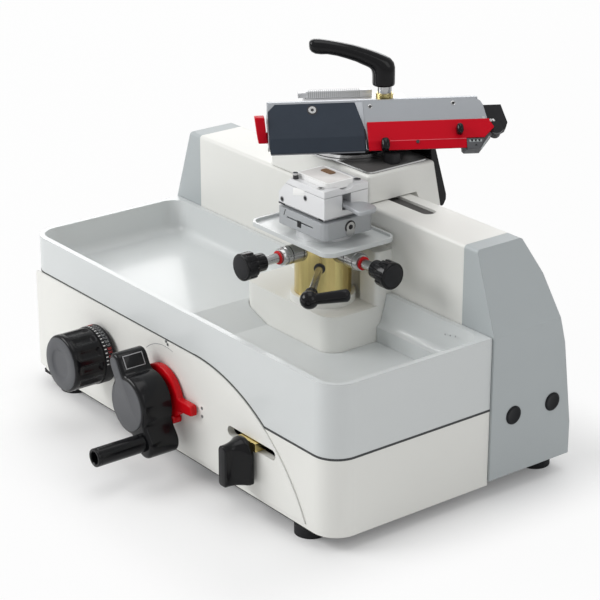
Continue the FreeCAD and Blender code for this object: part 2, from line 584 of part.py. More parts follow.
def make_pedestal():
    """Make the casting that rises through the tray and guides the specimen column."""
    low = ("pedestal_left", "pedestal_front")
    block = slab("pedestal_block", "xy", low, ("pedestal_right", "wall + pedestal_round"), "plate_top",
                 "pedestal_top - plate_top", "pedestal_round")
    guide = slab("pedestal_guide", "xy", ("pedestal_left", "guide_front"),
                 ("pedestal_right", "wall + pedestal_round"), "pedestal_top",
                 "guide_top - pedestal_top", "guide_round")
    groove = rod("pedestal_groove", ("column_x", "column_y", "pedestal_top"), "guide_groove",
                 "guide_top - pedestal_top + overrun")
    collar = rod("pedestal_collar", ("column_x", "column_y", "pedestal_top"),
                 "column_radius + collar_wall", "collar_top - pedestal_top")
    behind = box("pedestal_behind", ("pedestal_left - overrun", "wall", "base_bottom"),
                 ("pedestal_right - pedestal_left + 2 * overrun", "2 * pedestal_round", "housing_top"))
    solid = join("pedestal_solid", block, cut("pedestal_shield", guide, groove), collar)
    chamber = box("pedestal_chamber", ("pedestal_left + pedestal_wall", "pedestal_front + pedestal_wall",
                                       "plate_top - overrun"),
                  ("pedestal_right - pedestal_left - 2 * pedestal_wall",
                   "wall - pedestal_front - 2 * pedestal_wall",
                   "chamber_top - plate_top + overrun"))
    bore = rod("pedestal_bore", ("column_x", "column_y", "plate_top"), "column_radius + running_fit",
               "collar_top - plate_top + overrun")
    shaft = rod("pedestal_shaft", ("crank_x", "pedestal_front - overrun", "crank_z"),
                "crank_shaft + running_fit", "pedestal_wall + 2 * overrun", "y")
    node(cut("column_pedestal", solid, behind, chamber, bore, shaft), "column_pedestal")


def profile(inset, bottom):
    """Return the slideway housing's end outline, drawn in by an inset."""
    return [(f"wall + {inset}", bottom), (f"wall + {inset}", f"housing_top - {inset}"),
            (f"ridge_back - {inset} / 2", f"housing_top - {inset}"),
            (f"shoulder_back - {inset}", "shoulder_height"), (f"waist_back - {inset}", "waist_height"),
            (f"heel_back - {inset}", "heel_height"), (f"heel_back - {inset}", bottom)]


def make_housing():
    """Make the slideway housing, its two end panels, their plugs and the rail inside."""
    outer = prism("housing_outer", "yz", profile("0", "plate_top"), "-1 * housing_seam",
                  "2 * housing_seam")
    soften(outer, "housing_edge", lambda edge: along("x")(edge)
           and edge.BoundBox.ZMin > size("housing_top") - size("overrun"))
    inner = prism("housing_inner", "yz", profile("housing_wall", "plate_top - overrun"),
                  "housing_wall - housing_seam", "2 * (housing_seam - housing_wall)")
    slot = obround("housing_slot", "xy", "-1 * slot_half", "slot_half", "slot_line", "slot_radius",
                   "housing_top - 2 * housing_wall", "3 * housing_wall")
    window = box("housing_window", ("pedestal_left + pedestal_wall", "wall - overrun", "plate_top"),
                 ("pedestal_right - pedestal_left - 2 * pedestal_wall", "housing_wall + 2 * overrun",
                  "chamber_top - plate_top"))
    node(cut("rear_housing", outer, inner, slot, window), "rear_housing")

    for side, name in (("-1", "end_panel_left"), ("1", "end_panel_right")):
        start = "housing_seam" if side == "1" else "-1 * panel_out"
        block = prism(f"{name}_block", "yz", profile("0", "plate_top"), start,
                      "panel_out - housing_seam")
        soften(block, "housing_edge", lambda edge: along("x")(edge)
               and edge.BoundBox.ZMin > size("housing_top") - size("overrun"))
        slope = [(f"{side} * panel_out", "rim_height"), (f"{side} * panel_top_out", "housing_top"),
                 (f"{side} * panel_top_out", "housing_top + overrun"),
                 (f"{side} * (panel_out + overrun)", "housing_top + overrun"),
                 (f"{side} * (panel_out + overrun)", "rim_height")]
        wedge = prism(f"{name}_slope", "xz", slope, "wall - overrun",
                      "heel_back - wall + 2 * overrun")
        hollow = prism(f"{name}_hollow", "yz", profile("housing_wall", "plate_top + base_wall"),
                       "housing_seam - overrun" if side == "1" else "base_wall - panel_top_out",
                       "panel_top_out - housing_seam - base_wall + overrun")
        holes = [rod(f"{name}_hole{place}", (f"{side} * panel_out - plug_depth * (1 + {side}) / 2",
                                            back, "plug_height"), "plug_radius", "plug_depth", "x")
                 for place, back in enumerate(("plug_front", "plug_rear"))]
        node(cut(name, block, wedge, hollow, *holes), name)

    plugs = []
    for side in ("-1", "1"):
        for back in ("plug_front", "plug_rear"):
            start = f"{side} * panel_out - plug_depth * (1 + {side}) / 2 + plug_proud * ({side} - 1) / 2"
            plugs.append(rod(f"plug{len(plugs)}", (start, back, "plug_height"),
                             "plug_radius - running_fit", "plug_depth + plug_proud", "x"))
    node(join("end_plugs", *plugs), "end_plugs")

    rail_bottom = "(housing_top - rail_drop - rail_thick)"
    rail = obround("rail_bar", "xy", "-1 * slot_half", "slot_half", "slot_line",
                   "slot_radius - sliding_gap", rail_bottom, "rail_thick")
    beam = box("rail_beam", ("-1 * bridge_span", "slot_line - bridge_half",
                             f"{rail_bottom} - bridge_thick"),
               ("2 * bridge_span", "2 * bridge_half", "bridge_thick"))
    posts = [box(f"rail_post{place}", (f"{side} * (bridge_span - bridge_post / 2) - bridge_post / 2",
                                      "slot_line - bridge_half", "plate_top"),
                 ("bridge_post", "2 * bridge_half", f"{rail_bottom} - bridge_thick - plate_top"))
             for place, side in enumerate(("-1", "1"))]
    node(join("guide_rail", rail, beam, *posts), "guide_rail")


def make_sledge():
    """Make the sliding saddle with its top plate, carriage, grip, swivel ring and lock block."""
    outline = [("wall", "sledge_bottom"), ("skirt_shoulder", "sledge_bottom"),
               ("skirt_inner", "skirt_bottom"), ("skirt_back", "skirt_bottom"),
               ("sledge_back", "sledge_top"), ("wall", "sledge_top")]
    saddle = prism("sledge_outer", "yz", outline, "sledge_left", "sledge_length")
    soften(saddle, "sledge_edge", lambda edge: edge.BoundBox.ZMin > size("sledge_top") - size("overrun")
           or (middle(edge).y < size("wall") + size("overrun") and not along("x")(edge)))
    roof = "(sledge_top - sledge_roof)"
    hollow = [("wall + sledge_wall", "sledge_bottom - overrun"),
              ("skirt_shoulder + sledge_wall", "sledge_bottom - overrun"),
              ("skirt_inner + sledge_wall", "skirt_bottom - overrun"),
              ("skirt_back - sledge_wall", "skirt_bottom - overrun"),
              ("sledge_back - sledge_wall", roof), ("wall + sledge_wall", roof)]
    cavity = prism("sledge_cavity", "yz", hollow, "sledge_left + sledge_wall",
                   "sledge_length - 2 * sledge_wall")
    foot = "(housing_top - rail_drop + sliding_gap)"
    carriage = box("sledge_carriage", ("sledge_middle - carriage_half", "slot_line - carriage_width / 2",
                                       foot), ("2 * carriage_half", "carriage_width", f"{roof} - {foot}"))
    bore = rod("sledge_bore", ("swivel_x", "swivel_y", "sledge_top - pivot_depth"),
               "pivot_radius + running_fit", "pivot_depth + overrun")
    node(cut("sledge_body", join("sledge_solid", cut("sledge_shell", saddle, cavity), carriage), bore),
         "sledge_body")

    plate = slab("plate_sheet", "xy",
                 ("sledge_left + top_plate_inset", "wall + top_plate_inset"),
                 ("sledge_right - top_plate_inset", "sledge_back - top_plate_inset"), "sledge_top",
                 "top_plate_thick", "top_plate_round")
    hole = rod("plate_hole", ("swivel_x", "swivel_y", "sledge_top - overrun"),
               "pivot_radius + running_fit", "top_plate_thick + 2 * overrun")
    node(cut("sledge_plate", plate, hole), "sledge_plate")

    leaf = [("sledge_back", "sledge_top"), ("grip_neck + grip_round", "grip_top - grip_round"),
            ("grip_neck + 2 * grip_round", "grip_top"), ("grip_top_back", "grip_top"),
            ("grip_bulge", "grip_bulge_height"), ("grip_bulge", "grip_bulge_height - 2 * grip_round"),
            ("skirt_back + 2 * grip_round", "grip_bottom"), ("skirt_back", "skirt_bottom")]
    leaf_body = prism("grip_leaf", "yz", leaf, "grip_left", "grip_long")
    soften(leaf_body, "grip_round", lambda edge: along("x")(edge)
           and middle(edge).y > size("skirt_back") + size("overrun"))
    node(leaf_body, "sledge_grip")

    ring = cut("swivel_ring", rod("ring_outer", ("0", "0", "plate_face"), "swivel_radius",
                                  "swivel_ring_rise"),
               rod("ring_inner", ("0", "0", "plate_face"), "swivel_core + sliding_gap",
                   "swivel_ring_rise + overrun"))
    node(ring, "swivel_ring", "knife")
    node(slab("swivel_lock_block", "xy", ("lock_block_x", "lock_block_y"),
              ("lock_block_x + lock_block_wide", "lock_block_y + lock_block_deep"), "plate_face",
              "lock_block_tall", "sledge_edge"), "swivel_lock_block")


def make_knife_base():
    """Make the swivelling knife base with its rear bar, its stud and the clamp lever."""
    disc = rod("disc_top", ("0", "0", "plate_face + running_fit"), "swivel_core",
               "swivel_rise - running_fit")
    pivot = rod("disc_pivot", ("0", "0", "sledge_top + running_fit - pivot_depth"), "pivot_radius",
                "pivot_depth + top_plate_thick")
    node(join("swivel_disc", disc, pivot), "swivel_disc", "knife")
    outline = [("-1 * base_front", "knife_floor"), ("base_rear", "knife_floor"),
               ("base_rear", "base_top - base_edge"),
               ("base_rear - base_edge", "base_top"), ("-1 * base_front", "base_top")]
    block = prism("base_block", "yz", outline, "-1 * base_left", "base_left + base_right")
    seat = rod("base_seat", ("stud_offset", "0", "base_top"), "seat_radius", "seat_rise")
    node(join("knife_base", block, seat), "knife_base", "knife")
    node(slab("rear_bar", "xz", ("-1 * bar_left", "base_top"), ("bar_right", "base_top + bar_tall"),
              "bar_front", "bar_deep", "overrun"), "rear_bar", "knife")
    shank = rod("stud_shank", ("stud_offset", "0", "base_top + seat_rise"), "knife_stud",
                "hub_bottom - running_fit - base_top - seat_rise")
    tip = rod("stud_tip", ("stud_offset", "0", "base_top + seat_rise"), "knife_stud_tip",
              "stud_top - base_top - seat_rise")
    node(join("clamp_stud", shank, tip), "clamp_stud", "knife")
    node(cut("stud_ring", rod("brass_outer", ("stud_offset", "0", "base_top + seat_rise"), "brass_radius",
                              "brass_tall"),
             rod("brass_bore", ("stud_offset", "0", "base_top"), "knife_stud + running_fit",
                 "seat_rise + brass_tall + overrun")), "stud_ring", "knife")

    tip = "(stud_offset - arm_reach)"
    bend, under = [[(f"stud_offset - arm_reach * {out}", f"hub_top + arm_rise * {up} - arm_tip * {down}")
                    for out, up, down in shares] for shares in (ARM_SHARES, ARM_UNDER_SHARES)]
    arm = [("stud_offset + hub_radius", "hub_bottom"),
           ("stud_offset + hub_radius", "hub_top - hub_radius"),
           ("stud_offset + hub_radius / 2", "hub_top"), *bend,
           (f"{tip} + arm_tip / 3", "arm_lift"), (tip, "arm_lift - arm_tip / 3"),
           (tip, f"arm_lift - arm_tip * {ARM_TIP_SHARES[0]}"),
           (f"{tip} + arm_tip / 2", f"arm_lift - arm_tip * {ARM_TIP_SHARES[1]}"), *under,
           ("stud_offset - hub_radius", "hub_top - arm_tip"),
           ("stud_offset - hub_radius", "hub_bottom")]
    lever = prism("lever_arm", "xz", arm, "-1 * arm_half", "2 * arm_half")
    soften(lever, "arm_round", lambda edge: not along("y")(edge)
           and edge.BoundBox.ZMin > size("hub_bottom") + size("overrun"))
    hub = rod("lever_hub", ("stud_offset", "0", "hub_bottom"), "hub_radius",
              "hub_top - hub_bottom - hub_radius / 2")
    bore = rod("lever_bore", ("stud_offset", "0", "hub_bottom - overrun"), "knife_stud_tip + running_fit",
               "stud_top - hub_bottom + overrun + running_fit")
    node(cut("clamp_lever", join("lever_solid", lever, hub), bore), "clamp_lever", "knife")


def make_holder():
    """Make the blade holder with its plates, blade, guard, end pieces and release lever."""
    inner = "(face_plate_thick / sin(face_lean))"
    back = "(base_front + sliding_gap)"
    top = "(edge_height + face_width * sin(face_lean))"
    lowest = f"-1 * (edge_reach - (holder_bottom - edge_height) / tan(face_lean) - {inner})"
    highest = f"-1 * (edge_reach - ({top} - edge_height) / tan(face_lean) - {inner})"
    outline = [(lowest, "holder_bottom"), (f"-1 * {back}", "holder_bottom"), (f"-1 * {back}", top),
               (highest, top)]
    block = prism("holder_block", "yz", outline, "-1 * holder_left", "holder_left + holder_right")
    pin_hole = rod("holder_pin_hole", ("-1 * holder_left - overrun", "-1 * (release_n + release_deep / 2)",
                                       "release_bottom + release_pin_rise"),
                   "release_pin + running_fit", "3 * release_gap + overrun", "x")
    notch = rod("holder_notch", ("stud_offset", "0", "base_top - base_edge"), "seat_radius + sliding_gap",
                "base_edge + seat_rise + brass_tall")
    node(cut("holder_body", block, pin_hole, notch), "holder_body", "knife")

    section = [("0", "-1 * face_plate_thick"), ("face_width", "-1 * face_plate_thick"),
               ("face_width", "0"), ("crease_width", "0"), ("0", "-1 * crease_drop")]
    dark = prism("dark_plate", "yz", section, "-1 * holder_left", "holder_left + holder_split - seam_groove")
    corner = [("-1 * holder_left - overrun", "face_width - face_chamfer - overrun"),
              ("overrun + face_chamfer - holder_left", "face_width + overrun"),
              ("-1 * holder_left - overrun", "face_width + overrun")]
    notch = prism("dark_notch", "xy", corner, "-2 * face_plate_thick", "3 * face_plate_thick")
    slit = box("dark_slit", ("-1 * holder_left - overrun", "0 - overrun", "-1 * face_plate_thick - overrun"),
               ("holder_left + holder_split + overrun", "blade_wide + overrun - blade_tip",
                "overrun + blade_thick + seam_groove"))
    node(cut("pressure_plate", dark, notch, slit), "pressure_plate", "face")

    silver = prism("face_plate", "xy", [("holder_split", "0"), ("corner_block_left - seam_groove", "0"),
                                        ("corner_block_left - seam_groove",
                                         "corner_block_wide + seam_groove"),
                                        ("holder_right", "corner_block_wide + seam_groove"),
                                        ("silver_right", "silver_low"),
                                        ("silver_right - silver_slant", "face_width - silver_round"),
                                        ("silver_right - silver_slant - silver_round / 3",
                                         "face_width - silver_round / 3"),
                                        ("silver_right - silver_slant - silver_round",
                                         "face_width + overrun"),
                                        ("holder_split", "face_width + overrun")],
                   "-1 * face_plate_thick", "face_plate_thick")
    node(silver, "face_plate", "face")

    steel = "(blade_thick - face_plate_thick)"
    edge = [("-1 * blade_tip", "-1 * face_plate_thick"), ("blade_wide - blade_tip", "-1 * face_plate_thick"),
            ("blade_wide - blade_tip", steel), ("0", steel)]
    node(prism("blade", "yz", edge, "seam_groove - holder_left",
               "holder_left + holder_split - 3 * seam_groove"), "blade", "face")

    gap = "sliding_gap"
    skin = f"({gap} + guard_skin)"
    section = [("guard_width", gap), ("guard_width", skin), ("guard_fold", skin),
               ("-1 * guard_lip", f"{gap} + guard_skin / 3"), ("-1 * guard_lip", gap)]
    sheet_metal = prism("guard_sheet", "yz", section, "guard_left", "guard_right - guard_left")
    boss_top = "(corner_boss_top + sliding_gap)"
    slant = [("corner_block_left + corner_boss_left - sliding_gap", "-1 * guard_lip - overrun"),
             ("corner_block_left + corner_boss_left - sliding_gap", boss_top),
             ("corner_block_left + corner_boss_right + sliding_gap", boss_top),
             ("guard_right", "guard_tip_rise"), ("guard_right + overrun", "guard_tip_rise"),
             ("guard_right + overrun", "-1 * guard_lip - overrun")]
    upper = [("guard_right", "guard_tip_rise"),
             ("guard_right + overrun", "guard_tip_rise"),
             ("guard_right + overrun", "guard_width + 2 * guard_skin"),
             ("guard_right - guard_top_cut", "guard_width + 2 * guard_skin"),
             ("guard_right - guard_top_cut", "guard_width - overrun")]
    trims = [prism(f"guard_trim{place}", "xy", points, "0", "3 * guard_skin")
             for place, points in enumerate((slant, upper))]
    hinge = rod("guard_hinge", ("guard_left", "guard_width", f"{gap} + guard_skin / 2"),
                "guard_skin / 2", "guard_right - guard_top_cut - guard_left", "x")
    node(cut("finger_guard", join("guard_rolled", sheet_metal, hinge), *trims), "finger_guard", "face")
    places = (("guard_left + guard_near_pin", "guard_near_rise"),
              ("guard_right - guard_far_pin", "guard_far_rise"))
    pins = [rod(f"guard_pin{place}", (across, up, skin), "guard_pin", "guard_pin_reach")
            for place, (across, up) in enumerate(places)]
    node(join("guard_pins", *pins), "guard_pins", "face")

    out = "corner_block_left + corner_block_long"
    shape = [("corner_block_left", "-1 * corner_block_nib"),
             ("corner_block_left + corner_block_nib", "-1 * corner_block_low"),
             ("corner_block_left + corner_block_foot", "-1 * corner_block_low"),
             (out, "corner_block_wide - corner_block_nib"), (out, "corner_block_wide"),
             ("corner_block_left", "corner_block_wide")]
    core = prism("corner_core", "xy", shape, "-1 * corner_block_deep", "corner_block_deep")
    boss = prism("corner_boss", "xy", [
        ("corner_block_left + corner_boss_left", "-1 * corner_block_low"),
        ("corner_block_left + corner_block_foot", "-1 * corner_block_low"),
        ("corner_block_left + corner_boss_right", "corner_boss_top"),
        ("corner_block_left + corner_boss_left", "corner_boss_top")], "-1 * overrun",
        "corner_boss_proud + overrun")
    clear = box("corner_clear", ("corner_block_left - overrun", "holder_bottom - edge_height",
                                 "-1 * corner_block_deep - overrun"),
                ("holder_right + sliding_gap - corner_block_left + overrun", "corner_block_wide",
                 "corner_block_deep - face_plate_thick + overrun"))
    node(cut("corner_block", join("corner_whole", core, boss), clear), "corner_block", "face")

    near = "(holder_right + end_block_gap)"
    far = f"({near} + end_block_long)"
    top = "(end_block_low + end_block_tall)"
    shape = [(near, "end_block_low"), (f"{far} - end_knob_inset", "end_block_low"),
             (f"{far} - end_block_slant / 2", "end_block_low + end_block_slant"),
             (far, "end_block_low + end_block_cut"), (f"{far} - end_block_slant", top), (near, top)]
    solid = prism("end_solid", "xy", shape, "-1 * face_plate_thick - sliding_gap - end_block_deep",
                  "end_block_deep")
    knob = rod("end_knob", (f"{far} - end_knob_inset", "end_block_low + end_knob_rise",
                            "-1 * face_plate_thick - sliding_gap - end_block_deep"),
               "end_knob_radius", "end_block_deep + face_plate_thick")
    node(join("end_block", solid, knob), "end_block", "face")

    plate = slab("release_plate", "xz", ("-1 * (holder_left + release_gap + release_wide)",
                                         "release_bottom"),
                 ("-1 * (holder_left + release_gap)", "release_bottom + release_tall"),
                 "-1 * (release_n + release_deep)", "release_deep", "overrun")
    pin = rod("release_axle", ("-1 * (holder_left + release_gap + overrun)",
                               "-1 * (release_n + release_deep / 2)",
                               "release_bottom + release_pin_rise"), "release_pin",
              "3 * release_gap", "x")
    node(join("release_lever", plate, pin), "release_lever", "knife")

    spots = ("holder_split - face_width", "holder_split + face_screw_inset",
             "holder_right - face_width / 2 - face_screw_inset")
    screws = [rod(f"face_screw{place}", (across, f"face_width * {share}", "0"), "screw_radius",
                  "screw_proud")
              for place, (across, share) in enumerate(zip(spots, FACE_SCREW_SHARES))]
    node(join("holder_screws", *screws), "holder_screws", "face")


def spindle(name, toward, big_end, mid_end, knob_start):
    """Make one tilting spindle and its fluted knob, running out from the column."""
    axis = "y" if toward == "-y" else "x"

    def place(start, length):
        """Return where a run that starts some way out from the column begins."""
        if toward == "-y":
            return ("0", f"-1 * (({start}) + ({length}))", "spindle_height")
        return (start, "0", "spindle_height")

    def run(label, start, end, radius):
        """Return one round run of the spindle."""
        length = f"(({end}) - ({start}))"
        return rod(label, place(start, length), radius, length, axis)

    steel = join(name, run(name + "_big", "spindle_start", big_end, "spindle_big"),
                 run(name + "_mid", big_end, mid_end, "spindle_mid"),
                 run(name + "_thin", mid_end, f"{knob_start} + knob_neck_long", "spindle_thin"))
    node(steel, name, "column")
    head_start = f"({knob_start} + knob_neck_long)"
    head_end = f"({head_start} + knob_head_long)"
    neck = run(name + "_neck", knob_start, head_start, "knob_neck")
    head = run(name + "_head", head_start, head_end, "knob_head")
    bore = run(name + "_bore", f"{knob_start} - overrun", head_start, "spindle_thin + running_fit")
    flutes = []
    for index in range(KNOB_FLUTES):
        angle = f"{index} * 360 / {KNOB_FLUTES}"
        across = f"(knob_head + knob_flute / 2) * cos({angle})"
        up = f"spindle_height + (knob_head + knob_flute / 2) * sin({angle})"
        length = f"(knob_neck_long + knob_head_long * {FLUTE_SHARE})"
        start = place(knob_start, length)
        at = (across, start[1], up) if toward == "-y" else (start[0], across, up)
        flutes.append(rod(f"{name}_flute{index}", at, "knob_flute", length, axis))
    knob = cut(name + "_knob", join(name + "_knob_solid", neck, head), bore, *flutes)
    node(knob, name + "_knob", "column")


def make_column():
    """Make the brass specimen column, its spindles, its lock and its tilting head."""
    barrel = rod("column_barrel", ("0", "0", "column_bottom"), "column_radius",
                 "column_top - column_bottom")
    well = rod("column_well", ("0", "0", "column_bottom - overrun"), "feed_screw_radius + running_fit",
               "column_bore_top - column_bottom + overrun")
    head = rod("column_head", ("0", "0", "head_floor"), "head_cavity", "column_top")
    front = rod("column_front", ("0", "-1 * column_top", "spindle_height"), "spindle_big + running_fit",
                "column_top - spindle_start + running_fit", "y")
    right = rod("column_right", ("spindle_start - running_fit", "0", "spindle_height"),
                "spindle_big + running_fit", "column_top", "x")
    hole = rod("column_lock", ("spindle_start", "0", "lock_height"), "lock_stud + running_fit",
               "column_top", "x")
    turn = FreeCAD.Rotation(FreeCAD.Vector(0, 0, 1), -size("lock_turn"))
    hole.Placement = FreeCAD.Placement(FreeCAD.Vector(), turn * TURNS["x"])
    put(hole, ("spindle_start * cos(lock_turn)", "-1 * spindle_start * sin(lock_turn)", "lock_height"))
    pin_hole = rod("column_pin_hole", ("running_fit - column_radius + yoke_wall", "0", "tilt_height"),
                   "yoke_pin + running_fit", "column_radius - yoke_wall", "x")
    node(cut("feed_column", barrel, well, head, front, right, hole, pin_hole), "feed_column", "column")

    spindle("front_spindle", "-y", "front_big_end", "front_mid_end", "front_knob_start")
    spindle("right_spindle", "x", "right_big_end", "right_mid_end", "right_knob_start")

    stud = rod("lock_stud_bar", ("spindle_start + running_fit", "0", "lock_height"), "lock_stud",
               "lock_reach - spindle_start - running_fit", "x")
    hub = ball("lock_hub", ("lock_reach", "0", "lock_height"), "lock_ball")
    neck = rod("lock_collar", ("lock_reach - lock_neck_long", "0", "lock_height"), "lock_neck",
               "lock_neck_long", "x")
    arm = cone("lock_arm_bar", ("lock_reach", "0", "lock_height"), "lock_arm", "lock_arm_tip",
               "lock_arm_long", "y")
    arm.Placement = FreeCAD.Placement(FreeCAD.Vector(), FreeCAD.Rotation(
        FreeCAD.Vector(1, 0, 0), size("lock_arm_angle") - 90))
    put(arm, ("lock_reach", "0", "lock_height"))
    node(join("lock_lever", stud, hub, neck, arm), "lock_lever", "lock")

    ring = rod("yoke_ring", ("0", "0", "tilt_height - yoke_half"), "yoke_radius", "2 * yoke_half")
    side = rod("yoke_side_pin", ("2 * running_fit + yoke_wall - column_radius", "0", "tilt_height"),
               "yoke_pin", "column_radius - yoke_wall - tongue_x", "x")
    slot = box("yoke_slot", ("-1 * tongue_x - overrun", "-1 * tongue_y - running_fit",
                             "tilt_height - yoke_half - overrun"),
               ("2 * tongue_x + 2 * overrun", "2 * tongue_y + 2 * running_fit",
                "2 * yoke_half + 2 * overrun"))
    cross = rod("yoke_cross_pin", ("0", "overrun - yoke_radius", "tilt_height"), "yoke_pin",
                "2 * yoke_radius - 2 * overrun", "y")
    node(join("tilt_yoke", cut("yoke_slotted", join("yoke_blank", ring, side), slot), cross),
         "tilt_yoke", "column")
    table = "(drip_bottom + drip_skin)"
    start = "(tilt_height + 2 * yoke_half)"
    post = rod("post_stem", ("0", "0", start), "post_radius", f"{table} - {start} + overrun")
    tongue = box("post_tongue", ("-1 * tongue_x", "-1 * tongue_y", "tilt_height - tongue_x"),
                 ("2 * tongue_x", "2 * tongue_y", f"{start} - tilt_height + tongue_x + overrun"))
    eye = rod("post_eye", ("0", "-1 * tongue_y - overrun", "tilt_height"), "yoke_pin + running_fit",
              "2 * tongue_y + 2 * overrun", "y")
    disc = rod("post_table", ("clamp_shift_x", "clamp_shift_y", table), "turntable_radius",
               f"clamp_bottom - {table}")
    node(join("tilt_post", cut("post_lower", join("post_blank", post, tongue), eye), disc), "tilt_post",
         "column")


def make_clamp():
    """Make the drip tray, the specimen clamp, the cassette and the paddle lever."""
    outer = slab("drip_outer", "xy", ("-1 * drip_left", "-1 * drip_front"), ("drip_right", "drip_rear"),
                 "drip_bottom", "drip_skin + drip_rise", "drip_round")
    inner = slab("drip_inner", "xy", ("drip_rim - drip_left", "drip_rim - drip_front"),
                 ("drip_right - drip_rim", "drip_rear - drip_rim"), "drip_bottom + drip_skin",
                 "drip_rise + overrun", "drip_round - drip_rim")
    hole = rod("drip_hole", ("0", "0", "drip_bottom - overrun"), "post_radius + running_fit",
               "drip_skin + 2 * overrun")
    node(cut("drip_tray", outer, inner, hole), "drip_tray", "column")

    left = "(clamp_shift_x - clamp_long / 2)"
    front = "(clamp_shift_y - clamp_deep / 2)"
    block = slab("clamp_block", "xy", (left, front), (f"{left} + clamp_long", f"{front} + clamp_deep"),
                 "clamp_bottom", "clamp_tall", "clamp_round")
    neck = box("clamp_neck", (f"{left} + clamp_neck_inset", f"{front} + clamp_neck_inset",
                              "clamp_bottom + clamp_tall"),
               ("clamp_long - 2 * clamp_neck_inset", "clamp_deep - 2 * clamp_neck_inset",
                "clamp_neck_rise"))
    slot = box("clamp_slot", ("key_slot_left", f"{front} - overrun", "key_slot_z - key_slot_tall / 2"),
               ("key_slot_right - key_slot_left", "key_slot_deep + overrun", "key_slot_tall"))
    square = box("clamp_square", ("key_square_x - key_square / 2", f"{front} - overrun",
                                  f"key_slot_z - key_square * {KEY_SHARE}"),
                 ("key_square", "2 * key_slot_deep + overrun", "key_square"))
    node(cut("clamp_base", join("clamp_base_solid", block, neck), slot, square), "clamp_base", "column")

    bottom = "(clamp_bottom + clamp_tall + clamp_neck_rise)"
    split = "(vise_top - vise_cover)"
    lower = [("-1 * vise_left", bottom), ("vise_right", bottom), ("vise_right", f"{split} - seam_groove"),
             ("vise_chamfer - vise_left - vise_cover - seam_groove", f"{split} - seam_groove"),
             ("-1 * vise_left", "vise_top - vise_chamfer")]
    body = prism("vise_block", "xz", lower, "-1 * vise_front", "vise_front + vise_rear")
    slot = box("vise_slot", ("vise_right - vise_slot_deep", "-1 * vise_slot_front", "vise_slot_low"),
               ("vise_slot_deep + overrun", "vise_slot_front + vise_slot_rear",
                f"{split} - vise_slot_low"))
    axle = rod("vise_axle", ("vise_right - paddle_root / 2", "-1 * vise_slot_front - paddle_pin_reach",
                             "paddle_low + paddle_thick / 2"), "paddle_pin + running_fit",
               "vise_slot_front + vise_slot_rear + 2 * paddle_pin_reach", "y")
    node(cut("clamp_vise", body, slot, axle), "clamp_vise", "column")

    upper = [("vise_chamfer - vise_left - vise_cover", split), ("vise_right", split),
             ("vise_right", "vise_top"), ("vise_chamfer - vise_left", "vise_top")]
    cover = prism("cover_block", "xz", upper, "-1 * vise_front", "vise_front + vise_rear")
    feet = [rod(f"cover_foot{place}", (across, back, f"{split} - seam_groove"), "cap_radius",
                "2 * seam_groove")
            for place, (across, back) in enumerate((("vise_right - 2 * cap_radius",
                                                     "3 * cap_radius - vise_front"),
                                                    ("vise_right - 2 * cap_radius",
                                                     "vise_rear - 2 * cap_radius"),
                                                    ("0", "3 * cap_radius - vise_front")))]
    pocket = slab("cover_pocket", "xy", ("-1 * cassette_left - running_fit",
                                         "-1 * cassette_front - running_fit"),
                  ("cassette_long - cassette_left + running_fit",
                   "cassette_deep - cassette_front + running_fit"),
                  "vise_top - cassette_sink", "cassette_sink + overrun", "cassette_round")
    thumb = rod("cover_thumb", ("vise_right - thumb_long",
                                "(vise_slot_rear - vise_slot_front) / 2",
                                "vise_top + thumb_radius - thumb_depth"), "thumb_radius",
                "thumb_long + overrun", "x")
    node(cut("clamp_cover", join("cover_solid", cover, *feet), pocket, thumb), "clamp_cover", "column")

    node(slab("cassette", "xy", ("-1 * cassette_left", "-1 * cassette_front"),
              ("cassette_long - cassette_left", "cassette_deep - cassette_front"),
              "vise_top - cassette_sink", "cassette_tall", "cassette_round"), "cassette", "column")
    node(slab("tissue", "xy", ("tissue_x - tissue_long / 2", "tissue_y - tissue_deep / 2"),
              ("tissue_x + tissue_long / 2", "tissue_y + tissue_deep / 2"),
              "vise_top - cassette_sink + cassette_tall", "tissue_tall", "tissue_tall"),
         "tissue", "column")

    root = box("paddle_root_bar", ("vise_right - paddle_root", "paddle_play - vise_slot_front",
                                   "paddle_low"),
               ("paddle_root + paddle_gap + paddle_round",
                "vise_slot_front + vise_slot_rear - 2 * paddle_play", "paddle_thick"))
    blade = slab("paddle_blade", "xy", ("vise_right + paddle_gap", "paddle_play - vise_slot_front"),
                 ("vise_right + paddle_reach", "paddle_play - vise_slot_front + paddle_wide"),
                 "paddle_low", "paddle_thick", "paddle_round")
    axle = rod("paddle_axle", ("vise_right - paddle_root / 2",
                               "paddle_play - vise_slot_front - paddle_pin_reach",
                               "paddle_low + paddle_thick / 2"), "paddle_pin",
               "vise_slot_front + vise_slot_rear + 2 * paddle_pin_reach - 2 * paddle_play", "y")
    node(join("clamp_paddle", root, blade, axle), "clamp_paddle", "column")

    hex_screw = rod("clamp_hex", (f"{left} + clamp_long", "clamp_shift_y + overrun",
                                  "key_slot_z - hex_radius"),
                    "hex_radius", "hex_proud", "x")
    caps = [rod("cap_near", ("vise_right - 3 * cap_radius", "cap_radius + sliding_gap - vise_front",
                             "vise_top"),
                "cap_radius", "cap_proud"),
            rod("cap_far", ("vise_right - 3 * cap_radius", "vise_rear - cap_radius - overrun", "vise_top"),
                "cap_radius", "cap_proud"),
            rod("cap_pin", ("vise_chamfer - vise_left + pin_radius + overrun",
                            "pin_radius + overrun - vise_front", "vise_top"), "pin_radius", "pin_tall")]
    node(join("clamp_screws", hex_screw, *caps), "clamp_screws", "column")


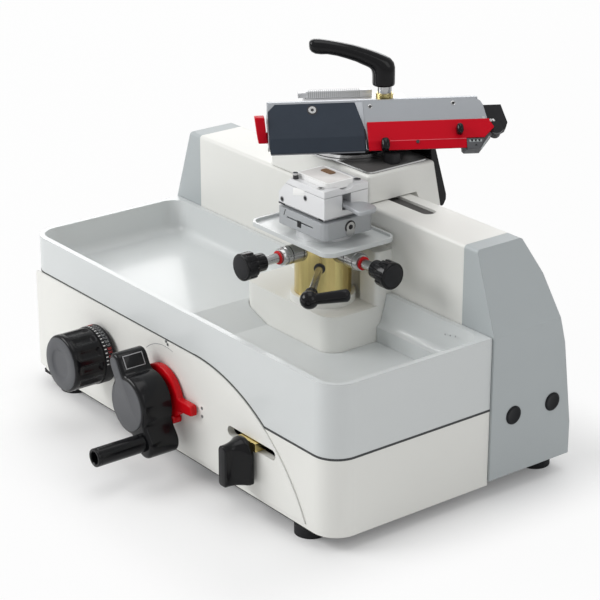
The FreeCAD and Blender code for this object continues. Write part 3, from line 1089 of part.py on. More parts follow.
def crank_lobe(name, angle, half, start, depth):
    """Return one lobe of the crank, a bar with a round end, turned to an angle."""
    bar = box(name + "_bar", (f"{half} * sin({angle})", f"-1 * {half} * cos({angle})", start),
              ("lobe_reach", f"2 * {half}", depth))
    bind(bar, Placement__Rotation__Angle=angle)
    end = rod(name + "_end", (f"lobe_reach * cos({angle})", f"lobe_reach * sin({angle})", start), half,
              depth)
    return bar, end


def make_crank():
    """Make the feed crank, its turning handle, the red mode ring, the shafts and the feed screw."""
    hub = rod("crank_hub", ("0", "0", "crank_back"), "crank_radius", "crank_depth")
    lobes = crank_lobe("upper_lobe", "upper_lobe_angle", "lobe_half", "crank_back", "crank_depth")
    lobes += crank_lobe("lower_lobe", "lower_lobe_angle", "lower_lobe_half", "crank_back", "crank_depth")
    grip_x = "grip_circle * cos(lower_lobe_angle)"
    grip_y = "grip_circle * sin(lower_lobe_angle)"
    front = "(crank_back + crank_depth)"
    pin = rod("crank_pin", (grip_x, grip_y, f"{front} - overrun"), "handle_pin",
              "handle_long - handle_open + overrun")
    bore = rod("crank_bore", ("0", "0", "crank_back - overrun"), "crank_shaft + running_fit",
               "crank_depth / 2")
    solid = join("crank_solid", hub, *lobes)
    doc.recompute()
    rounded = doc.addObject("Part::Fillet", "crank_rounded")
    rounded.Base = solid
    radius = size("crank_round")
    rim = size("crank_back") + size("crank_depth")
    rounded.Edges = [(index, radius, radius) for index, edge in enumerate(solid.Shape.Edges, start=1)
                     if edge.BoundBox.ZMin > rim - size("running_fit")]
    node(cut("crank_body", join("crank_whole", rounded, pin), bore), "crank_body", "crank")

    disc = rod("face_disc", ("0", "0", front), "crank_radius - crank_round - face_inset", "face_rise")
    stem = crank_lobe("face_lobe", "upper_lobe_angle", "(lobe_half - crank_round - face_inset / 2)",
                      front, "face_rise")
    node(join("crank_face", disc, *stem), "crank_face", "crank")

    sleeve = rod("handle_sleeve", (grip_x, grip_y, f"{front} + running_fit"), "handle_radius",
                 "handle_long - running_fit")
    narrow = rod("handle_narrow", (grip_x, grip_y, front), "handle_pin + running_fit", "handle_long")
    wide = rod("handle_wide", (grip_x, grip_y, f"{front} + handle_long - handle_open"), "handle_bore",
               "handle_open + overrun")
    node(cut("crank_handle", sleeve, narrow, wide), "crank_handle", "crank")

    ring = rod("mode_disc", ("0", "0", "ring_back"), "ring_radius", "ring_thick")
    tab = box("mode_tab", ("tab_half * sin(tab_angle)", "-1 * tab_half * cos(tab_angle)", "ring_back"),
              ("tab_reach", "2 * tab_half", "ring_thick"))
    bind(tab, Placement__Rotation__Angle="tab_angle")
    peg = rod("mode_peg", ("(ring_radius + ring_pin) * cos(ring_pin_angle)",
                           "(ring_radius + ring_pin) * sin(ring_pin_angle)", "ring_back"), "ring_pin",
              "ring_thick")
    web = rod("mode_web", ("ring_radius * cos(ring_pin_angle)", "ring_radius * sin(ring_pin_angle)",
                           "ring_back"), "ring_pin", "ring_thick")
    hole = rod("mode_bore", ("0", "0", "ring_back - overrun"), "crank_shaft + running_fit",
               "ring_thick + 2 * overrun")
    node(cut("mode_ring", join("mode_solid", ring, tab, peg, web), hole), "mode_ring", "crank")

    far = "(column_y - bevel_far)"
    shaft = rod("shaft_bar", ("0", "0", f"-1 * {far}"), "crank_shaft",
                f"{far} + crank_back - overrun + crank_depth / 2")
    gear = cone("shaft_bevel", ("0", "0", "-1 * (column_y - bevel_near)"), "bevel_small", "bevel_big",
                "bevel_far - bevel_near")
    node(join("crank_shaft_whole", shaft, gear), "crank_shaft", "crank")

    reach = "(column_x - crank_x)"
    bar = rod("cross_bar", ("crank_x + bevel_near", "column_y", "crank_z"), "cross_shaft",
              f"{reach} - 2 * bevel_near", "x")
    left = cone("cross_left", ("crank_x + bevel_near", "column_y", "crank_z"), "bevel_small", "bevel_big",
                "bevel_far - bevel_near", "x")
    right = cone("cross_right", ("column_x - bevel_far", "column_y", "crank_z"), "bevel_big",
                 "bevel_small", "bevel_far - bevel_near", "x")
    node(join("cross_shaft_whole", bar, left, right), "cross_shaft")

    stem = rod("screw_stem", ("0", "0", "plate_top"), "cross_shaft - overrun / 2",
               "column_bottom - journal_clear - plate_top")
    thread = rod("screw_thread", ("0", "0", "column_bottom - journal_clear"), "feed_screw_radius",
                 "screw_top - column_bottom + journal_clear")
    gear = cone("screw_bevel", ("0", "0", "crank_z - bevel_far"), "bevel_big", "bevel_small",
                "bevel_far - bevel_near")
    node(join("feed_screw", stem, thread, gear), "feed_screw", "column")

    foot = box("bearing_foot", ("column_x - screw_foot_half", "column_y - screw_foot_half", "plate_top"),
               ("2 * screw_foot_half", "2 * screw_foot_half", "screw_foot - base_bottom"))
    socket = rod("bearing_socket", ("column_x", "column_y", "plate_top"),
                 "cross_shaft - overrun / 2 + running_fit", "screw_foot")
    post = box("bearing_post", (f"crank_x + {reach} / 2 - bearing_half", "column_y - bearing_width",
                                "plate_top"),
               ("2 * bearing_half", "2 * bearing_width", "crank_z + bearing_width - plate_top"))
    eye = rod("bearing_eye", ("crank_x", "column_y", "crank_z"), "cross_shaft + running_fit", reach, "x")
    node(cut("shaft_bearings", join("bearing_solid", foot, post), socket, eye), "shaft_bearings")


def make_thickness():
    """Make the section thickness knob with its graduated drum and shaft."""
    drum = rod("drum_ring", ("0", "0", "drum_back"), "drum_radius", "drum_depth")
    shaft = rod("drum_shaft", ("0", "0", "-1 * thick_shaft_in"), "thick_shaft",
                "thick_shaft_in + drum_back + overrun")
    node(join("thickness_drum", drum, shaft), "thickness_drum", "thickness")
    start = "(drum_back + drum_depth)"
    grip = rod("thick_grip", ("0", "0", start), "thick_radius", "thick_depth")
    flutes = [rod(f"thick_flute{index}",
                  (f"(thick_radius + thick_flute / 2) * cos({index} * 360 / {THICKNESS_FLUTES})",
                   f"(thick_radius + thick_flute / 2) * sin({index} * 360 / {THICKNESS_FLUTES})",
                   f"{start} + thick_depth * {THICK_FLUTE_SHARES[0]}"), "thick_flute",
                  f"thick_depth * {THICK_FLUTE_SHARES[1]}")
              for index in range(THICKNESS_FLUTES)]
    node(cut("thickness_knob", grip, *flutes), "thickness_knob", "thickness")


def make_selector():
    """Make the sliding selector lever and the brass slide that it is fixed to."""
    foot_face = "(selector_back + selector_foot)"
    dome = rod("selector_round_foot", ("0", "selector_dome_z", "selector_back"), "selector_dome",
               "selector_foot")
    foot = box("selector_foot_block", ("-1 * selector_dome", "-1 * selector_hang", "selector_back"),
               ("2 * selector_dome", "selector_hang + selector_dome_z", "selector_foot"))
    ridge = [("-1 * selector_dome", foot_face), ("selector_dome", foot_face),
             ("selector_ridge_half + overrun", f"{foot_face} + selector_foot"),
             ("selector_ridge_half", "selector_ridge_reach"),
             ("-1 * selector_ridge_half", "selector_ridge_reach"),
             ("-1 * selector_ridge_half - overrun", f"{foot_face} + selector_foot")]
    wing = prism("selector_wing", "xz", ridge, "-1 * selector_hang",
                 "selector_hang + selector_ridge_top")
    round_off = join("selector_shape", rod("selector_dome_tall", ("0", "selector_dome_z", "selector_back"),
                                           "selector_dome", "selector_ridge_reach"),
                     box("selector_skirt", ("-1 * selector_dome", "-1 * selector_hang", "selector_back"),
                         ("2 * selector_dome", "selector_hang + selector_dome_z",
                          "selector_ridge_reach")))
    shaped = common("selector_shaped", wing, round_off)
    node(join("selector_lever", dome, foot, shaped), "selector_lever", "selector")
    neck = box("slide_neck", ("-1 * brass_slide_left", "-1 * brass_slide_half", "-1 * brass_slide_in"),
               ("brass_slide_left + brass_slide_right", "2 * brass_slide_half",
                "brass_slide_in + selector_back"))
    tail = box("slide_tail", ("-1 * brass_slide_left", "-1 * brass_tail", "-1 * brass_slide_in"),
               ("brass_slide_left + brass_slide_right", "2 * brass_tail",
                "brass_slide_in - base_wall - sliding_gap"))
    node(join("selector_slide", neck, tail), "selector_slide", "selector")


make_base()
make_tray()
make_pedestal()
make_housing()
make_sledge()
make_knife_base()
make_holder()
make_column()
make_clamp()
make_crank()
make_thickness()
make_selector()
doc.recompute()

faults = [thing.Name for thing in doc.Objects
          if any(state in ("Invalid", "Error") for state in thing.State)]
for sub_part in NODES:
    shape = sub_part.Shape
    if shape.isNull() or not shape.isValid() or not shape.Solids:
        faults.append(sub_part.Label)
if faults:
    raise RuntimeError("failed objects: " + ", ".join(faults))

for sub_part in NODES:
    shape = sub_part.Shape
    shape.exportStep(os.path.join("parts", sub_part.Label + ".step"))
    extent = shape.BoundBox
    print(f"{sub_part.Label:20s} solids {len(shape.Solids)} volume {shape.Volume:12.1f} "
          f"x {extent.XMin:8.2f} {extent.XMax:8.2f} y {extent.YMin:8.2f} {extent.YMax:8.2f} "
          f"z {extent.ZMin:8.2f} {extent.ZMax:8.2f}")
print(len(NODES), "sub-parts")
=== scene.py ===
"""Sledge microtome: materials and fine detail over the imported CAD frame."""

import logging
import math
from collections.abc import Callable
from dataclasses import dataclass
from enum import Enum

import bmesh
import bpy
from mathutils import Matrix, Vector


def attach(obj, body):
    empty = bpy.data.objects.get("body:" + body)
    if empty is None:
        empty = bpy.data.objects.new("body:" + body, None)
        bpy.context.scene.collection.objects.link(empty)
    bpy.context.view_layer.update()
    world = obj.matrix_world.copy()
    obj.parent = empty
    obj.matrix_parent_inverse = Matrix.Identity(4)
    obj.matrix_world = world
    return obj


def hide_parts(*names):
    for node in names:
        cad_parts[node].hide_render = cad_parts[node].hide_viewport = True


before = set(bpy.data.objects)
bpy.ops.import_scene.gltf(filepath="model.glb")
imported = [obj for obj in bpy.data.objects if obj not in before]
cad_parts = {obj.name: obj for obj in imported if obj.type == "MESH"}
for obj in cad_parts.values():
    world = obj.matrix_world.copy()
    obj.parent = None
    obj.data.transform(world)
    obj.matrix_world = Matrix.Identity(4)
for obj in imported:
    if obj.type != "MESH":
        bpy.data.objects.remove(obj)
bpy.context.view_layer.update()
LOG = logging.getLogger("microtome")
MM = 0.001
SETBACK = -104.17
KNIFE_TURN = 58.6
SWIVEL = (-3.0, 192.0)
EDGE_REACH = 43.4
EDGE_HEIGHT = 246.0
FACE_LEAN = 50.0
SHARP_ANGLE = 38.0
TINY = 1e-4
FULL_TURN = 2.0 * math.pi
UP = Vector((0.0, 0.0, 1.0))
WHITE = (1.0, 1.0, 1.0, 1.0)
BRIGHT = 0.985
COAT_ROUGHNESS = 0.12

Colour = tuple[float, float, float]
Point2 = tuple[float, float]
Point3 = tuple[float, float, float]


class Value:
    """A shader value whose Python arithmetic adds Math nodes."""

    def __init__(self, tree: bpy.types.NodeTree, socket: bpy.types.NodeSocket) -> None:
        """Wrap an output socket of a node tree.

        Args:
            tree: the node tree that new nodes go into.
            socket: the output that carries the value.
        """
        self.tree = tree
        self.socket = socket

    def maths(self, operation: str, *terms: "Value | float") -> "Value":
        """Add a Math node.

        Args:
            operation: the node's operation.
            terms: its inputs in order, each a value or a number.

        Returns:
            The node's result.
        """
        node = self.tree.nodes.new("ShaderNodeMath")
        node.operation = operation
        for slot, term in zip(node.inputs, terms):
            if isinstance(term, Value):
                self.tree.links.new(term.socket, slot)
            else:
                slot.default_value = term
        return Value(self.tree, node.outputs[0])

    def __add__(self, other: "Value | float") -> "Value":
        """Return the sum."""
        return self.maths("ADD", self, other)

    __radd__ = __add__

    def __sub__(self, other: "Value | float") -> "Value":
        """Return the difference."""
        return self.maths("SUBTRACT", self, other)

    def __rsub__(self, other: float) -> "Value":
        """Return the reflected difference."""
        return self.maths("SUBTRACT", other, self)

    def __mul__(self, other: "Value | float") -> "Value":
        """Return the product."""
        return self.maths("MULTIPLY", self, other)

    __rmul__ = __mul__

    def limited(self) -> "Value":
        """Return the value held between nought and one."""
        return self.maths("MINIMUM", self.maths("MAXIMUM", self, 0.0), 1.0)


class Nodes:
    """Adds nodes to one node tree."""

    def __init__(self, tree: bpy.types.NodeTree) -> None:
        """Hold the tree.

        Args:
            tree: the node tree that new nodes go into.
        """
        self.tree = tree

    def feed(self, socket: bpy.types.NodeSocket, value: object) -> None:
        """Link an output to an input, or set the input.

        Args:
            socket: the input.
            value: a value, an output or a plain setting.
        """
        value = value.socket if isinstance(value, Value) else value
        if isinstance(value, bpy.types.NodeSocket):
            self.tree.links.new(value, socket)
        else:
            socket.default_value = value

    def node(self, kind: str, settings: dict | None = None, **inputs: object) -> bpy.types.Node:
        """Add a node.

        Args:
            kind: the node's type.
            settings: its properties, set before its inputs.
            inputs: values or links by input name, with spaces as underscores, or by the
                letter i and the input's place.

        Returns:
            The new node.
        """
        node = self.tree.nodes.new(kind)
        for name, value in (settings or {}).items():
            setattr(node, name, value)
        for name, value in inputs.items():
            key = int(name[1:]) if name[1:].isdigit() else name.replace("_", " ")
            self.feed(node.inputs[key], value)
        return node


class Tree(Nodes):
    """Builds one material's node tree."""

    def __init__(self, name: str) -> None:
        """Start a material with an empty Principled surface.

        Args:
            name: the material's name.
        """
        self.material = bpy.data.materials.new(name)
        self.material.use_nodes = True
        super().__init__(self.material.node_tree)
        self.surface = self.tree.nodes["Principled BSDF"]
        self.place = self.node("ShaderNodeTexCoord").outputs["Object"]

    def noise(self, size: float, stretch: Point3, turn: float) -> Value:
        """Return a noise pattern on Object coordinates.

        Args:
            size: the pattern's feature size in millimetres.
            stretch: how much longer the features are along each axis.
            turn: the pattern's turn about Z in degrees.

        Returns:
            The noise value.
        """
        spot = self.node("ShaderNodeMapping", {"vector_type": "TEXTURE"}, Vector=self.place,
                         Rotation=(0.0, 0.0, math.radians(turn)),
                         Scale=tuple(size * MM * part for part in stretch))
        noise = self.node("ShaderNodeTexNoise", Vector=spot.outputs[0], Scale=1.0, Detail=3.0,
                          Roughness=0.55)
        return Value(self.tree, noise.outputs[0])

    def blend(self, factor: Value, low: Colour, high: Colour) -> bpy.types.NodeSocket:
        """Return a colour between two colours."""
        return self.node("ShaderNodeMix", {"data_type": "RGBA"}, i0=factor, i6=(*low, 1.0),
                         i7=(*high, 1.0)).outputs[2]

    def set(self, name: str, value: object) -> None:
        """Set or link one input of the surface."""
        self.feed(self.surface.inputs[name], value)

    def relief(self, height: Value, depth: float, edge: float) -> None:
        """Give the surface a bump and softly rounded edges.

        Args:
            height: the relief's height pattern.
            depth: its depth in millimetres.
            edge: the radius of the rounded edges in millimetres.
        """
        bump = self.node("ShaderNodeBump", Strength=1.0, Distance=depth * MM, Height=height)
        if edge > 0:
            soft = self.node("ShaderNodeBevel", {"samples": 4}, Radius=edge * MM)
            self.feed(bump.inputs["Normal"], soft.outputs[0])
        self.set("Normal", bump.outputs[0])


@dataclass(frozen=True)
class Finish:
    """A finish with a fine grain, an unevenness of tone that can be drawn into streaks of painted
    reflection, and softly rounded edges.
    """

    name: str
    colour: Colour
    roughness: float = 0.45
    metallic: float = 0.0
    coat: float = 0.0
    mottle: float = 0.03
    mottle_size: float = 40.0
    grain: float = 0.01
    grain_size: float = 0.5
    stretch: Point3 = (1.0, 1.0, 1.0)
    turn: float = 0.0
    spread: float = 0.06
    edge: float = 0.4
    shine: float = 0.5
    # Stretches the tone's mottle into long streaks, which paint bands of reflected light.
    reflection_streak: Point3 = (1.0, 1.0, 1.0)

    def build(self) -> bpy.types.Material:
        """Return the material."""
        tree = Tree(self.name)
        cloud = tree.noise(self.mottle_size, self.reflection_streak, self.turn)
        low = tuple(part * (1.0 - self.mottle) for part in self.colour)
        high = tuple(min(1.0, part * (1.0 + self.mottle)) for part in self.colour)
        tree.set("Base Color", tree.blend(cloud, low, high))
        fine = tree.noise(self.grain_size, self.stretch, self.turn)
        tree.set("Roughness", (self.roughness + (fine - 0.5) * self.spread * 2.0).limited())
        tree.set("Metallic", self.metallic)
        tree.set("Specular IOR Level", self.shine)
        tree.set("Coat Weight", self.coat)
        tree.set("Coat Roughness", COAT_ROUGHNESS)
        tree.relief(fine, self.grain, self.edge)
        return tree.material


class Look(Enum):
    """The finishes that the machine's pieces wear."""

    HOUSING = Finish("warm white housing paint", (0.80, 0.80, 0.765), 0.42, grain=0.012,
                     grain_size=0.7, mottle=0.012, edge=0.8)
    TRAY = Finish("pale grey tray paint", (0.635, 0.66, 0.66), 0.34, coat=0.3, grain=0.014,
                  grain_size=0.8, mottle=0.015, edge=0.8)
    PANEL = Finish("grey end panel paint", (0.44, 0.475, 0.485), 0.5, grain=0.02, grain_size=0.6,
                   mottle=0.02, edge=0.8)
    GLOSS_BLACK = Finish("gloss black moulding", (0.006, 0.006, 0.007), 0.18, coat=0.2,
                         grain=0.004, grain_size=1.2, spread=0.04, edge=0.5, shine=0.14)
    DULL_BLACK = Finish("dull black moulding", (0.012, 0.012, 0.014), 0.5, grain=0.02,
                        grain_size=0.5, edge=0.4, shine=0.25)
    RUBBER = Finish("foot rubber", (0.012, 0.012, 0.014), 0.7, grain=0.03, grain_size=0.6,
                    shine=0.3)
    GREY_CAP = Finish("grey cap plate", (0.092, 0.095, 0.102), 0.5, grain=0.012, grain_size=0.4,
                      edge=0.3, shine=0.3)
    RED = Finish("red anodised metal", (0.57, 0.002, 0.014), 0.38, mottle=0.05, grain=0.004,
                 grain_size=0.3, stretch=(12.0, 1.0, 1.0), turn=KNIFE_TURN, shine=0.1)
    RED_PLASTIC = Finish("red moulded lever", (0.58, 0.003, 0.008), 0.25, coat=0.06, grain=0.004,
                         shine=0.2)
    DARK_BRUSHED = Finish("dark brushed plate", (0.034, 0.044, 0.060), 0.42, 0.2, mottle=0.10,
                          mottle_size=18.0, grain=0.006, grain_size=0.25,
                          stretch=(40.0, 1.0, 1.0), turn=KNIFE_TURN, spread=0.1, edge=0.3,
                          shine=0.2)
    SILVER = Finish("satin silver plate", (0.33, 0.345, 0.365), 0.36, 0.85, mottle=0.03,
                    grain=0.004, grain_size=0.25, stretch=(40.0, 1.0, 1.0), turn=KNIFE_TURN,
                    spread=0.08, edge=0.4)
    ALUMINIUM = Finish("bead blasted aluminium", (0.77, 0.775, 0.785), 0.4, 0.5, mottle=0.02,
                       grain=0.008, grain_size=0.3, edge=0.5)
    BLUED = Finish("anodised clamp base", (0.42, 0.435, 0.45), 0.4, 0.5, mottle=0.03,
                   grain=0.008, grain_size=0.3, edge=0.5)
    STEEL = Finish("turned steel", (0.5, 0.5, 0.5), 0.24, 1.0, mottle=0.04, grain=0.004,
                   grain_size=0.3, edge=0.3)
    DARK_STEEL = Finish("blackened steel", (0.05, 0.05, 0.052), 0.4, 0.6, mottle=0.05, edge=0.3)
    # The strong mottle, drawn out along the column into long streaks, is painted reflection: the
    # bright and dark bands of turned brass.
    BRASS = Finish("turned brass", (0.86, 0.61, 0.26), 0.2, 1.0, mottle=0.42, mottle_size=9.0,
                   grain=0.006, grain_size=0.25, stretch=(20.0, 20.0, 1.0), spread=0.08, edge=0.3,
                   reflection_streak=(1.0, 1.0, 60.0))
    TOP_PLATE = Finish("dark satin slide plate", (0.095, 0.092, 0.09), 0.5, 0.2, mottle=0.06,
                       shine=0.1, grain=0.004, grain_size=0.4, stretch=(30.0, 1.0, 1.0),
                       edge=0.5)
    EDGE_GREY = Finish("light grey edge", (0.36, 0.36, 0.37), 0.4, 0.3, grain=0.004, edge=0.0)
    BAR_GREY = Finish("rubbed aluminium ribs", (0.50, 0.51, 0.51), 0.5, grain=0.004, edge=0.0)
    PLUG = Finish("black end plug", (0.012, 0.013, 0.015), 0.32, grain=0.006, edge=0.5, shine=0.15)
    # A flat dark finish for strips of painted shade laid in the seams.
    SEAM_SHADE = Finish("painted seam shade", (0.045, 0.048, 0.05), 0.6, edge=0.0)
    PRINT_WHITE = Finish("white print", (0.80, 0.80, 0.80), 0.5, grain=0.004, edge=0.0)
    PRINT_RED = Finish("red print", (0.60, 0.02, 0.02), 0.5, grain=0.004, edge=0.0)
    PRINT_GREY = Finish("grey print", (0.33, 0.34, 0.35), 0.5, grain=0.004, edge=0.0)
    # A paler red for the painted highlight along the guard's fold.
    RED_FOLD_HIGHLIGHT = Finish("painted red fold highlight", (0.72, 0.10, 0.13), 0.3, 0.3, grain=0.004, edge=0.0)
    WAX = Finish("clear embedding wax", (0.74, 0.72, 0.70), 0.4, coat=0.3, mottle=0.05,
                 mottle_size=3.0, grain=0.02, edge=0.2)
    CASSETTE = Finish("white cassette", (0.90, 0.90, 0.89), 0.5, grain=0.01, edge=0.3)
    TISSUE = Finish("brown tissue", (0.17, 0.09, 0.04), 0.6, mottle=0.35, mottle_size=2.0,
                    grain=0.05, grain_size=0.5, edge=0.0)
    BLADE = Finish("honed blade", (0.22, 0.23, 0.25), 0.2, 1.0, grain=0.001, edge=0.0)


NODE_LOOKS = {
    Look.HOUSING: ("base_housing", "front_panel", "column_pedestal", "rear_housing", "sledge_body"),
    Look.TRAY: ("waste_tray", "drip_tray"),
    Look.PANEL: ("end_panel_left", "end_panel_right"),
    Look.GLOSS_BLACK: ("sledge_grip", "clamp_lever", "front_spindle_knob", "right_spindle_knob",
                       "lock_lever", "crank_body", "crank_handle", "thickness_knob",
                       "selector_lever", "guard_pins"),
    Look.DULL_BLACK: ("end_plugs", "swivel_lock_block", "end_block", "thickness_drum"),
    Look.RUBBER: ("rubber_feet",),
    Look.GREY_CAP: ("crank_face", "corner_block"),
    Look.RED: ("finger_guard", "release_lever"),
    Look.RED_PLASTIC: ("mode_ring",),
    Look.DARK_BRUSHED: ("pressure_plate",),
    Look.SILVER: ("face_plate", "rear_bar", "holder_body"),
    Look.BLUED: ("clamp_base",),
    Look.ALUMINIUM: ("clamp_vise", "clamp_cover", "clamp_paddle", "tilt_post",
                     "knife_base"),
    Look.STEEL: ("front_spindle", "right_spindle", "clamp_stud", "swivel_ring", "tilt_yoke",
                 "clamp_screws", "crank_shaft", "cross_shaft", "feed_screw", "shaft_bearings",
                 "holder_screws"),
    Look.DARK_STEEL: ("base_plate", "swivel_disc"),
    Look.BRASS: ("feed_column", "stud_ring", "selector_slide"),
    Look.TOP_PLATE: ("sledge_plate", "guide_rail"),
    Look.CASSETTE: ("cassette",),
    Look.TISSUE: ("tissue",),
    Look.BLADE: ("blade",),
}


class Wardrobe:
    """Makes each finish once and dresses the CAD nodes."""

    def __init__(self) -> None:
        """Start with no finishes made."""
        self.made: dict[Look, bpy.types.Material] = {}

    def get(self, look: Look) -> bpy.types.Material:
        """Return a finish's material, made on first use."""
        if look not in self.made:
            self.made[look] = look.value.build()
        return self.made[look]

    def dress_nodes(self) -> None:
        """Give every CAD node its finish."""
        for look, names in NODE_LOOKS.items():
            for name in names:
                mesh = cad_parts[name].data
                mesh.materials.clear()
                mesh.materials.append(self.get(look))


class Seat(Enum):
    """Where each group of pieces sits: across, back, height, turn and lean in degrees."""

    MACHINE = (0.0, 0.0, 0.0, 0.0, 0.0)
    COLUMN = (48.0, 123.0, 0.0, 0.0, 0.0)
    LOCK = (48.0, 123.0, 0.0, -45.0, 0.0)
    CRANK = (-3.0, 0.0, 59.0, 0.0, 90.0)
    THICKNESS = (-98.5, 0.0, 64.0, 0.0, 90.0)
    SELECTOR = (110.0, 0.0, 59.0, 0.0, 90.0)
    KNIFE = (*SWIVEL, 0.0, KNIFE_TURN, 0.0)
    FACE = (SWIVEL[0] + EDGE_REACH * math.sin(math.radians(KNIFE_TURN)),
            SWIVEL[1] - EDGE_REACH * math.cos(math.radians(KNIFE_TURN)),
            EDGE_HEIGHT, KNIFE_TURN, FACE_LEAN)

    def matrix(self) -> Matrix:
        """Return the matrix from the seat's millimetres to the machine's metres."""
        across, back, height, turn, lean = self.value
        place = Matrix.Translation((across * MM, (back + SETBACK) * MM, height * MM))
        return (place @ Matrix.Rotation(math.radians(turn), 4, "Z")
                @ Matrix.Rotation(math.radians(lean), 4, "X") @ Matrix.Scale(MM, 4))


def around(steps: int) -> list[float]:
    """Return equal turns round a full circle, in radians."""
    return [FULL_TURN * step / steps for step in range(steps)]


def arc(centre: Point2, wide: float, tall: float, first: float, last: float,
        steps: int) -> list[Point2]:
    """Return points along an elliptical arc, both ends included.

    Args:
        centre: the arc's centre.
        wide: its half width.
        tall: its half height.
        first: where it starts, in degrees.
        last: where it ends, in degrees.
        steps: how many steps it takes.

    Returns:
        The points.
    """
    turns = [math.radians(first + (last - first) * step / steps) for step in range(steps + 1)]
    return [(centre[0] + wide * math.cos(turn), centre[1] + tall * math.sin(turn))
            for turn in turns]


def squircle(steps: int, power: float) -> list[Point2]:
    """Return points round a unit circle that a power below one draws towards a square."""
    return [tuple(math.copysign(abs(part) ** power, part)
                  for part in (math.cos(turn), math.sin(turn))) for turn in around(steps)]


def ramp(value: float, over: float) -> float:
    """Return a value's share of a length, held between nought and one."""
    return min(1.0, max(0.0, value / over))


def away(angle: float, toward: float) -> float:
    """Return the turn to an angle in radians from a direction in degrees, under half a turn."""
    return (angle - math.radians(toward) + math.pi) % FULL_TURN - math.pi


def flute_depth(angle: float, count: int, half: float) -> float:
    """Return how deep a flute is at an angle, from nought between flutes to one.

    Args:
        angle: the direction in radians.
        count: how many flutes go round.
        half: half a flute's width, as a share of the flutes' pitch.

    Returns:
        The share of the full depth.
    """
    pitch = FULL_TURN / count
    off = abs((angle + pitch / 2.0) % pitch - pitch / 2.0) / pitch
    return math.sqrt(max(0.0, 1.0 - (off / half) ** 2))


def rims(low: float, high: float, low_edge: float, high_edge: float,
         steps: int = 5) -> list[Point2]:
    """Return levels of height and inset for a block whose two rims are rounded.

    Args:
        low: the bottom height.
        high: the top height.
        low_edge: the bottom rim's radius.
        high_edge: the top rim's radius.
        steps: how many levels each rim takes.

    Returns:
        The levels from bottom to top.
    """
    turns = [math.pi / 2.0 * step / steps for step in range(steps + 1)]
    foot = [(low + low_edge * (1.0 - math.cos(turn)), low_edge * (1.0 - math.sin(turn)))
            for turn in turns] if low_edge else [(low, 0.0)]
    head = [(high - high_edge * (1.0 - math.cos(turn)), high_edge * (1.0 - math.sin(turn)))
            for turn in reversed(turns)] if high_edge else [(high, 0.0)]
    return foot + head


def soft_most(first: float, second: float, reach: float) -> float:
    """Return the larger of two numbers, blended where they are near each other."""
    near = max(reach - abs(first - second), 0.0) / reach
    return max(first, second) + near * near * reach / 4.0


def lobe_radius(angle: float, toward: float, half: float, reach: float) -> float:
    """Return how far a round-ended bar about the centre reaches in a direction.

    Args:
        angle: the direction in radians.
        toward: the bar's direction in degrees.
        half: half the bar's width.
        reach: how far out the middle of its round end lies.

    Returns:
        The reach in that direction, or nought behind the bar.
    """
    off = away(angle, toward)
    if abs(off) >= math.pi / 2.0:
        return 0.0
    across = reach * math.sin(off)
    tip = 0.0
    if abs(across) < half:
        tip = reach * math.cos(off) + math.sqrt(half * half - across * across)
    side = half / max(abs(math.sin(off)), 1e-6)
    return min(side, tip) if tip and side * math.cos(off) > reach else min(side, reach + half)


